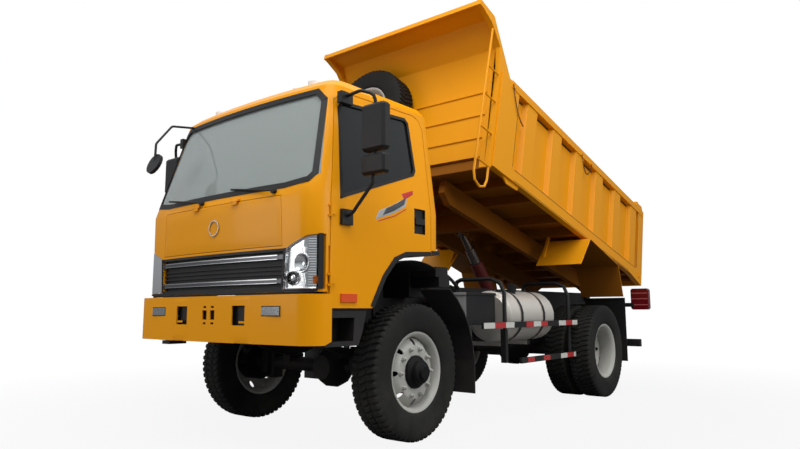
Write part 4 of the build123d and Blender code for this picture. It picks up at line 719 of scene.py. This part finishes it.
# Smooth paint over the lid's flats, and black infills beside the grille.
z = np.linspace(1.346, 1.646, 9)[None, :]
reach = np.interp(z, [1.342, 1.668], [0.686, 0.668])
u = np.linspace(-1, 1, 61)[:, None]
depth = np.where((np.abs(u) > 0.999) | (z < 1.347) | (z > 1.645), 0.003, -0.0012)
made = grid_mesh("lid_skin", nose(u * reach, z, depth), material=cab_paint, sharp=180)
settle(made, "front_lid", "body_paint")
z = np.linspace(1.064, 1.322, 9)[None, :]
s = np.interp(z, [1.056, 1.322], [0.688, 0.710]) + np.array([0, 0, 0.017, 0.017])[:, None]
infill = nose(s, z, np.array([0.004, -0.001, -0.001, 0.004])[:, None])
for side, name in SIDES:
    made = grid_mesh("grille_infill_" + name, infill * [side, 1, 1], material=trim_black)
    settle(made, "cab", "black_plastic")

# Headlamps.
# A clear skin over a silver reflector with a projector in a dark ring, a main bowl, an amber
# indicator and level ribs in the outer corner. A black strip closes the outer edge.
chrome = coated("reflector_chrome", (0.78, 0.79, 0.80), 0.14, 0.0, metal=1.0, grain=400, bump=0.02)
amber = coated("amber", (0.55, 0.13, 0.01), 0.2, 0.0, grain=300)
lens_clear = bpy.data.materials.new("lens_clear")
lens_clear.use_nodes = True
tune(lens_clear.node_tree.nodes["Principled BSDF"],
     {"Base Color": (0.97, 0.98, 0.98, 1), "Roughness": 0.02, "Transmission Weight": 1.0, "IOR": 1.12})
# inner edge of the lamp, as (z, x), then the x measured along the skin round the corner's bend
edge_z = np.array([1.062, 1.322, 1.338, 1.395, 1.408])
edge_x = np.array([0.704, 0.730, 0.762, 0.892, 0.960])
LAMP_LOW, LAMP_HIGH, LAMP_END = 1.064, 1.406, 1.000
BOWL_S, BOWL_Z = 0.850, 1.225
EYE_S, EYE_Z, EYE_RING = 0.775, 1.130, 0.044
lamp_z = np.linspace(LAMP_LOW, LAMP_HIGH, 90)
lamp_s0 = np.interp(lamp_z, edge_z, edge_x)
bend = CORNER_R * np.arcsin(np.clip((lamp_s0 - NOSE_FLAT) / CORNER_R, 0, 1))
lamp_s0 = np.where(lamp_s0 > NOSE_FLAT, NOSE_FLAT + bend, lamp_s0)
u = np.linspace(0, 1, 90)[:, None]
lamp_s = lamp_s0[None, :] + (LAMP_END - lamp_s0[None, :]) * u
zz = np.broadcast_to(lamp_z[None, :], lamp_s.shape)
bowl = np.hypot(lamp_s - BOWL_S, zz - BOWL_Z)
eye_r = np.hypot(lamp_s - EYE_S, zz - EYE_Z)
# depth behind the skin: level ribs outside, upright flutes inside, then the bowl and the projector
depth = 0.030 + 0.004 * np.abs(((zz - 1.06) / 0.016) % 1 - 0.5) * (lamp_s > 0.90)
depth = depth + 0.003 * np.abs((lamp_s / 0.012) % 1 - 0.5) * (lamp_s < 0.90)
depth = np.where(bowl < 0.062, 0.014 + 0.024 * np.clip(1 - (bowl / 0.056) ** 2, 0, 1), depth)
depth = np.where(eye_r < EYE_RING, 0.010 + 0.022 * (eye_r < 0.034), depth)
depth = np.where(eye_r < 0.028, 0.026 - 0.014 * np.sqrt(np.clip(1 - (eye_r / 0.028) ** 2, 0, 1)), depth)
side_fall = np.clip(u * 60, 0, 1) * np.clip((1 - u) * 60, 0, 1)
end_fall = np.clip((zz - LAMP_LOW) / 0.004, 0, 1) * np.clip((LAMP_HIGH - zz) / 0.004, 0, 1)
depth = 0.004 + (depth - 0.004) * np.minimum(side_fall, end_fall)
coarse = slice(None, None, 6)
lens_s = lamp_s0[None, coarse] + (LAMP_END - lamp_s0[None, coarse]) * u[coarse]
lens_skin = nose(lens_s, lamp_z[None, coarse], 0.001)
edge_s = np.array([[0.972, 0.972, 1.006, 1.006]])
edge_skin = nose(edge_s, np.linspace(1.062, 1.408, 12)[:, None], np.array([[0.004, -0.001, -0.001, 0.004]]))


def eye_distance(x, z):
    """Distance of a face from the middle of the projector on its own side."""
    return np.hypot(np.abs(x) - EYE_S, z - EYE_Z)


for side, name in SIDES:
    mirror = np.array([side, 1, 1])
    points = nose(lamp_s, zz, depth) * mirror
    back = grid_mesh("headlamp_reflector_" + name, points, material=chrome, sharp=60)
    settle(back, body_of["headlamps"], "lamp_clear")
    recoloured(back, trim_black, lambda x, y, z, *n: (eye_distance(x, z) < EYE_RING)
               & (eye_distance(x, z) > 0.030))
    recoloured(back, amber, lambda x, y, z, *n: (np.abs(x) > 0.905) & (np.abs(z - 1.115) < 0.024))
    lens = grid_mesh("headlamp_lens_" + name, lens_skin * mirror, material=lens_clear, sharp=60)
    settle(lens, body_of["headlamps"], "lamp_clear", *(["headlamps"] if side == 1 else []))
    made = grid_mesh("headlamp_edge_" + name, edge_skin * mirror, material=trim_black)
    settle(made, body_of["headlamps"], "black_plastic")

# Bumper details: painted infills over its flats, painted shade behind the openings, fog lamp faces.
# The infills carry the bow across, black and dark brown boxes stand behind the holes as painted
# shade, and the fog lamps have a fluted silver face in a black frame.


def box_mesh(name, rows, material, place=None):
    """One mesh of boxes; each row is x0, x1, y0, y1, z0, z1, and place moves the corners."""
    rows = np.asarray(rows, float)
    pick = np.array([[0, 2, 4], [1, 2, 4], [1, 3, 4], [0, 3, 4], [0, 2, 5], [1, 2, 5], [1, 3, 5], [0, 3, 5]])
    faces = np.array([[0, 3, 2, 1], [4, 5, 6, 7], [0, 1, 5, 4], [1, 2, 6, 5], [2, 3, 7, 6], [3, 0, 4, 7]])
    points = rows[:, pick].reshape(-1, 3)
    quads = (faces[None] + 8 * np.arange(len(rows))[:, None, None]).reshape(-1, 4)
    return solid_mesh(name, place(points) if place else points, quads, material)


def boxes(name, rows, material):
    """Upright boxes, with y from the front axle."""
    return box_mesh(name, np.asarray(rows, float) + [0, 0, AXLE_Y, AXLE_Y, 0, 0], material)


def bumper_face(x, z, depth):
    """Face of the bumper: bowed forward by 24 mm over its half width of 858 mm."""
    x, z, depth = np.broadcast_arrays(x, z, depth)
    return np.stack([x, -1.104 + 0.024 * (x / 0.858) ** 2 + depth + AXLE_Y, z], axis=-1)


# infills of the bumper's face: x0, x1, z0, z1
infills = ((0.262, 0.452, 0.720, 0.832), (0.262, 0.452, 0.962, 1.026), (0.398, 0.452, 0.8315, 0.9625))
grids = []
for x0, x1, z0, z1 in infills:
    x = np.linspace(x0, x1, 12)[:, None]
    z = np.linspace(z0, z1, 5)[None, :]
    edge = (x > x1 - 1e-6) & (x1 > 0.44) | (z < 0.7201) | (z > 1.0259)
    face = bumper_face(x, z, np.where(edge, 0.003, -0.0006))
    grids += [(face, False, False), (face * [-1, 1, 1], False, False)]
settle(joined_grids("bumper_infills", grids, cab_paint, 180), body_of["bumper"], "body_paint")
# Dark brown and black boxes behind the openings and slots: painted shade seen through the holes.
slot_shade_brown = coated("slot_shade_brown", (0.045, 0.018, 0.006), 0.7, 0.0, grain=90)
rows = [(s * 0.330 - 0.150, s * 0.330 + 0.100, -1.068, -1.062, 0.800, 0.990) for s in (1, -1)]
settle(boxes("bumper_hole_shade", rows, trim_black), body_of["bumper"], "black_plastic")
rows = [(-0.12, 0.10, -1.080, -1.076, 0.820, 0.978)]
settle(boxes("slot_hole_shade", rows, slot_shade_brown), body_of["bumper"], "black_plastic")

# Fog lamps: twelve flutes across each face, and a frame of four bars.
pressed("fog_lamps", chrome, 0.001)
FOG_X, FLUTE_STEP = 0.651, 0.0147
rows = [(s * FOG_X - 0.088 + k * FLUTE_STEP + 0.001, s * FOG_X - 0.088 + k * FLUTE_STEP + 0.010,
         -1.0955, -1.090, 0.900, 0.950) for s in (1, -1) for k in range(12)]
settle(boxes("fog_lamp_flutes", rows, chrome), body_of["fog_lamps"], "lamp_clear")
# bar of the frame: x0 and x1 from the lamp's middle, z0, z1
bars = ((-0.0905, 0.0905, 0.8925, 0.8985), (-0.0905, 0.0905, 0.9515, 0.9575),
        (-0.0905, -0.0845, 0.8925, 0.9575), (0.0845, 0.0905, 0.8925, 0.9575))
rows = [(s * FOG_X + x0, s * FOG_X + x1, -1.0925, -1.070, z0, z1) for s in (1, -1) for x0, x1, z0, z1 in bars]
settle(boxes("fog_lamp_frames", rows, trim_black), body_of["fog_lamps"], "black_plastic")

# Door trims: window rubber, wheel-arch lip, side marker and the plain striped decal.
# The decal keeps the photograph's slanted grey stripes with a red end and carries no wording.
# Points are (y from the front axle, z) on the side's skin.
window = [(-0.790, 1.660), (-0.745, 2.290), (-0.715, 2.330), (-0.030, 2.372), (0.002, 2.345),
          (0.032, 1.975), (0.008, 1.938)]
arch = [(-0.470, 0.946), (-0.347, 1.152), (-0.231, 1.274), (-0.117, 1.316), (0.178, 1.336)]
rear_arch = [(0.190, 1.348), (0.286, 1.350)]
marker_orange = coated("marker_orange", (0.70, 0.075, 0.008), 0.25, 0.0, coat=0.3, grain=200)
decal_dark = coated("decal_dark", (0.055, 0.057, 0.062), 0.35, 0.0, grain=300)
decal_grey = coated("decal_grey", (0.40, 0.40, 0.39), 0.35, 0.0, grain=300)
decal_red = coated("decal_red", (0.50, 0.02, 0.012), 0.35, 0.0, grain=300)
# stripe: its colour, how far it stands off the door, its lower line, its upper line
stripes = (("grey", decal_grey, 0.0010, [(-0.475, 1.535), (-0.270, 1.600), (-0.112, 1.672)],
            [(-0.430, 1.612), (-0.240, 1.690), (-0.070, 1.772)]),
           ("dark", decal_dark, 0.0018, [(-0.400, 1.570), (-0.260, 1.622), (-0.128, 1.688)],
            [(-0.350, 1.640), (-0.220, 1.695), (-0.085, 1.762)]),
           ("red", decal_red, 0.0020, [(-0.128, 1.722), (-0.015, 1.782)],
            [(-0.165, 1.768), (-0.010, 1.818)]),
           ("line", decal_red, 0.0020, [(-0.440, 1.530), (-0.250, 1.590), (-0.105, 1.662)],
            [(-0.440, 1.538), (-0.250, 1.598), (-0.105, 1.670)]))


def decal_grid(low, high, off):
    """Points (y, z) between two lines, and their depth: off the skin inside, sunk at the edges."""
    u, part = np.linspace(0, 1, 17), np.linspace(0, 1, len(low))
    lower, upper = (np.stack([np.interp(u, part, np.array(line)[:, k]) for k in (0, 1)], axis=-1)
                    for line in (low, high))
    flat = lower[:, None] + (upper - lower)[:, None] * np.linspace(0, 1, 9)[None, :, None]
    depth = np.full(flat.shape[:2], -off)
    depth[[0, -1], :] = 0.002
    depth[:, [0, -1]] = 0.002
    return cab_side(flat[..., 0], flat[..., 1], depth)


for side, name in SIDES:
    door = "door_" + name
    made = band("window_rubber_" + name, window, -0.010, 0.014, cab_side, trim_black, 0.002, side=side)
    settle(made, door, "black_plastic")
    made = band("arch_lip_" + name, arch, -0.030, 0.004, cab_side, trim_black, 0.008, closed=False, side=side)
    settle(made, door, "black_plastic")
    made = band("rear_arch_lip_" + name, rear_arch, -0.026, 0.002, cab_side, trim_black, 0.008,
                closed=False, side=side)
    settle(made, "cab", "black_plastic")
    low_x, high_x = sorted((side * 0.955, side * 0.972))
    made = boxes("side_marker_" + name, [(low_x, high_x, -0.786, -0.640, 0.980, 1.034)], marker_orange)
    settle(made, door, "lamp_red")
    for title, colour, off, low, high in stripes:
        points = decal_grid(low, high, off) * [side, 1, 1]
        made = grid_mesh("decal_" + title + "_" + name, points, material=colour, sharp=180)
        settle(made, door, "body_paint")

# Wheel-arch liners under the cab floor.
# Black plastic sheets, 6 mm thick, bent to 0.8 m about the front axle and fixed to the cab.
a = np.radians(np.linspace(69, 125, 15))[:, None, None]
r = np.array([0.800, 0.800, 0.806, 0.806])[None, :, None]
for side, name in SIDES:
    x = np.array([0.460, 0.945, 0.945, 0.460])[None, :, None] * side
    points = np.concatenate([x + 0 * a, r * np.cos(a) + AXLE_Y, r * np.sin(a) + TYRE_RADIUS], axis=-1)
    settle(grid_mesh("arch_liner_" + name, points, round_v=True, material=trim_black), "cab", "black_plastic")

# Reflecting tape on the side guards, tail-lamp bands.
# Red, white and bare dark lengths as in the photograph, on the outer face of each bar.
tape_red = coated("tape_red", (0.42, 0.018, 0.020), 0.4, 0.1, grain=300)
tape_white = coated("tape_white", (0.58, 0.56, 0.52), 0.4, 0.2, grain=300)
# length of tape: y0, y1 from the front axle, colour
upper = [(0.850, 1.030, "w"), (1.030, 1.210, "r"), (1.210, 1.360, "w"), (1.580, 1.720, "r"),
         (1.720, 1.870, "w"), (1.870, 2.010, "r"), (2.250, 2.410, "w"), (2.410, 2.560, "r"),
         (2.560, 2.686, "w")]
lower = [(1.590, 1.720, "r"), (1.900, 2.040, "r"), (2.270, 2.420, "w"), (2.420, 2.570, "r"),
         (2.570, 2.624, "w")]
for colour, material in (("r", tape_red), ("w", tape_white)):
    rows = [(*sorted((side * 1.0055, side * 1.0075)), y0 + 0.002, y1 - 0.002, z - h, z + h)
            for side in (1, -1) for bars, z, h in ((upper, 0.797, 0.024), (lower, 0.476, 0.023))
            for y0, y1, kind in bars if kind == colour]
    settle(boxes("guard_tape_" + colour, rows, material), body_of["side_guards"], "guard_paint")
lamp_band = coated("lamp_band", (0.42, 0.10, 0.10), 0.2, 0.0, coat=0.5, grain=100)
rows = [(side * 1.071 - 0.100, side * 1.071 + 0.100, 4.419, 4.4215, z - 0.006, z + 0.006)
        for side in (1, -1) for z in (0.985, 1.060, 1.130)]
settle(boxes("tail_lamp_bands", rows, lamp_band), body_of["tail_lamps"], "lamp_red")

# Bed fittings: painted shade in the gaps under the top rail and in the sill's grooves, seams, chains
# and latches on both sides. Drawn in the bed's own frame (x, s rearwards, h up), then leaned with the bed.


def bed_boxes(name, rows, material):
    """Boxes in the bed's frame; each row is x0, x1, s0, s1, h0, h1, on the left and mirrored."""
    rows = np.asarray(rows, float)
    rows = np.vstack([rows, np.column_stack([-rows[:, 1], -rows[:, 0], rows[:, 2:]])])
    return settle(box_mesh(name, rows, material, on_bed), "bed", "body_paint")


# One dark brown for the strips of painted shade in gaps and grooves, and for the dark seams.
gap_shade_and_seam_brown = coated("gap_shade_and_seam_brown", (0.06, 0.018, 0.004), 0.7, 0.0, grain=90)
gaps = [(0.400, 0.500), (0.750, 1.050), (1.310, 1.610), (1.870, 2.170), (2.430, 2.730), (2.990, 3.290)]
SKIN_X = (1.0150, 1.0175)       # thin strips on the outer face of the side
# Strips in the gaps under the top rail between the posts: painted shade.
bed_boxes("rail_gap_shade", [(0.9585, 0.9625, s0, s1, 0.858, 0.879) for s0, s1 in gaps], gap_shade_and_seam_brown)
# Two thin dark lines along the sill: painted shade in its grooves.
bed_boxes("sill_groove_shade", [(*SKIN_X, 0.380, 3.560, 0.112, 0.117), (*SKIN_X, 0.380, 3.300, 0.010, 0.014)],
          gap_shade_and_seam_brown)
bed_boxes("rear_post_seam", [(*SKIN_X, 3.578, 3.583, 0.130, 0.940), (*SKIN_X, 0.336, 0.340, 0.130, 0.950)],
          gap_shade_and_seam_brown)


def tube_grid(line, radius, sides=8):
    """Grid of a round tube along a line of points: rings square to the mean direction at each point."""
    line = np.asarray(line, float)
    ahead = np.gradient(line, axis=0)
    ahead /= np.linalg.norm(ahead, axis=1)[:, None]
    across = np.cross(ahead, np.where(np.abs(ahead[:, :1]) < 0.8, [[1.0, 0, 0]], [[0, 0, 1.0]]))
    across /= np.linalg.norm(across, axis=1)[:, None]
    other = np.cross(ahead, across)
    a = 2 * np.pi * np.arange(sides) / sides
    round_it = np.cos(a)[None, :, None] * across[:, None] + np.sin(a)[None, :, None] * other[:, None]
    return line[:, None] + radius * round_it


# Chains: sixteen small links hang in a shallow loop from the top rail, at two places on each side.
# A loop is (s0, s1, h0, h1, fall): the line between its ends, less 4 fall t (1 - t).
chain_dark = coated("chain_dark", (0.10, 0.035, 0.012), 0.55, 0.1, metal=0.5, grain=200)
CHAIN_X = 1.0265
LINK_LONG, LINK_WIDE, WIRE_R = 0.016, 0.007, 0.0026
loops = ((0.200, 0.430, 0.905, 0.600, 0.06), (1.760, 2.030, 0.900, 0.870, 0.16))
ring = 2 * np.pi * np.arange(13) / 12
grids = []
for s0, s1, h0, h1, fall in loops:
    for k, t in enumerate(np.linspace(0, 1, 16)):
        s = s0 + (s1 - s0) * t
        h = h0 + (h1 - h0) * t - 4 * fall * t * (1 - t)
        slope = np.arctan2((h1 - h0) - 4 * fall * (1 - 2 * t), s1 - s0)
        long = LINK_LONG * np.cos(ring)
        wide = LINK_WIDE * np.sin(ring)
        standing = k % 2 == 1
        flat = wide if standing else 0 * wide
        out = CHAIN_X + (0 * wide if standing else 0.5 * wide)
        along = s + long * np.cos(slope) - flat * np.sin(slope)
        up = h + long * np.sin(slope) + flat * np.cos(slope)
        link = on_bed(tube_grid(np.stack([out, along, up], axis=-1), WIRE_R, 5))
        grids += [(link, False, True), (link * [-1, 1, 1], False, True)]
settle(joined_grids("side_chains", grids, chain_dark), "bed", "body_paint")
latches = [(1.0195, 1.030, 0.205, 0.240, 0.890, 0.945), (1.0195, 1.030, 1.750, 1.785, 0.890, 0.945),
           (1.0195, 1.030, 2.010, 2.045, 0.890, 0.945), (1.0155, 1.026, 3.640, 3.675, 0.020, 0.085)]
bed_boxes("latches", latches, bed_paint)

# Behind the cab: air cleaner, its carrier and hoses, all black.
# They fill the dark space between the cab's rear wall and the bed, on the frame.
rows = [(-0.40, 0.60, 0.370, 0.560, 1.036, 1.310), (0.60, 0.88, 0.400, 0.545, 1.110, 1.190),
        (-0.36, 0.38, 0.575, 0.850, 1.036, 1.260), (0.46, 0.86, 0.385, 0.550, 1.190, 1.270),
        (-0.88, -0.42, 0.400, 0.545, 1.150, 1.190)]
settle(boxes("air_cleaner", rows, frame_black), "chassis", "chassis_paint")
# hose: x0, x1, y0, y1 from the front axle, z0, z1, rise at its middle, radius
hoses = ((0.44, 0.56, 0.600, 1.300, 1.200, 1.090, -0.06, 0.013),
         (0.46, 0.60, 0.600, 1.500, 1.160, 1.070, -0.05, 0.010),
         (0.30, 0.47, 0.590, 1.700, 1.230, 1.060, -0.03, 0.016),
         (0.52, 0.80, 0.560, 0.800, 1.230, 1.100, 0.10, 0.014))
t = np.linspace(0, 1, 24)[:, None]
grids = []
for x0, x1, y0, y1, z0, z1, arch_up, radius in hoses:
    start = np.array([x0, y0 + AXLE_Y, z0])
    end = np.array([x1, y1 + AXLE_Y, z1])
    line = start + (end - start) * t + np.array([0, 0, 1.0]) * arch_up * 4 * t * (1 - t)
    grids.append((tube_grid(line, radius), False, True))
settle(joined_grids("frame_hoses", grids, flap_black), "chassis", "chassis_paint")
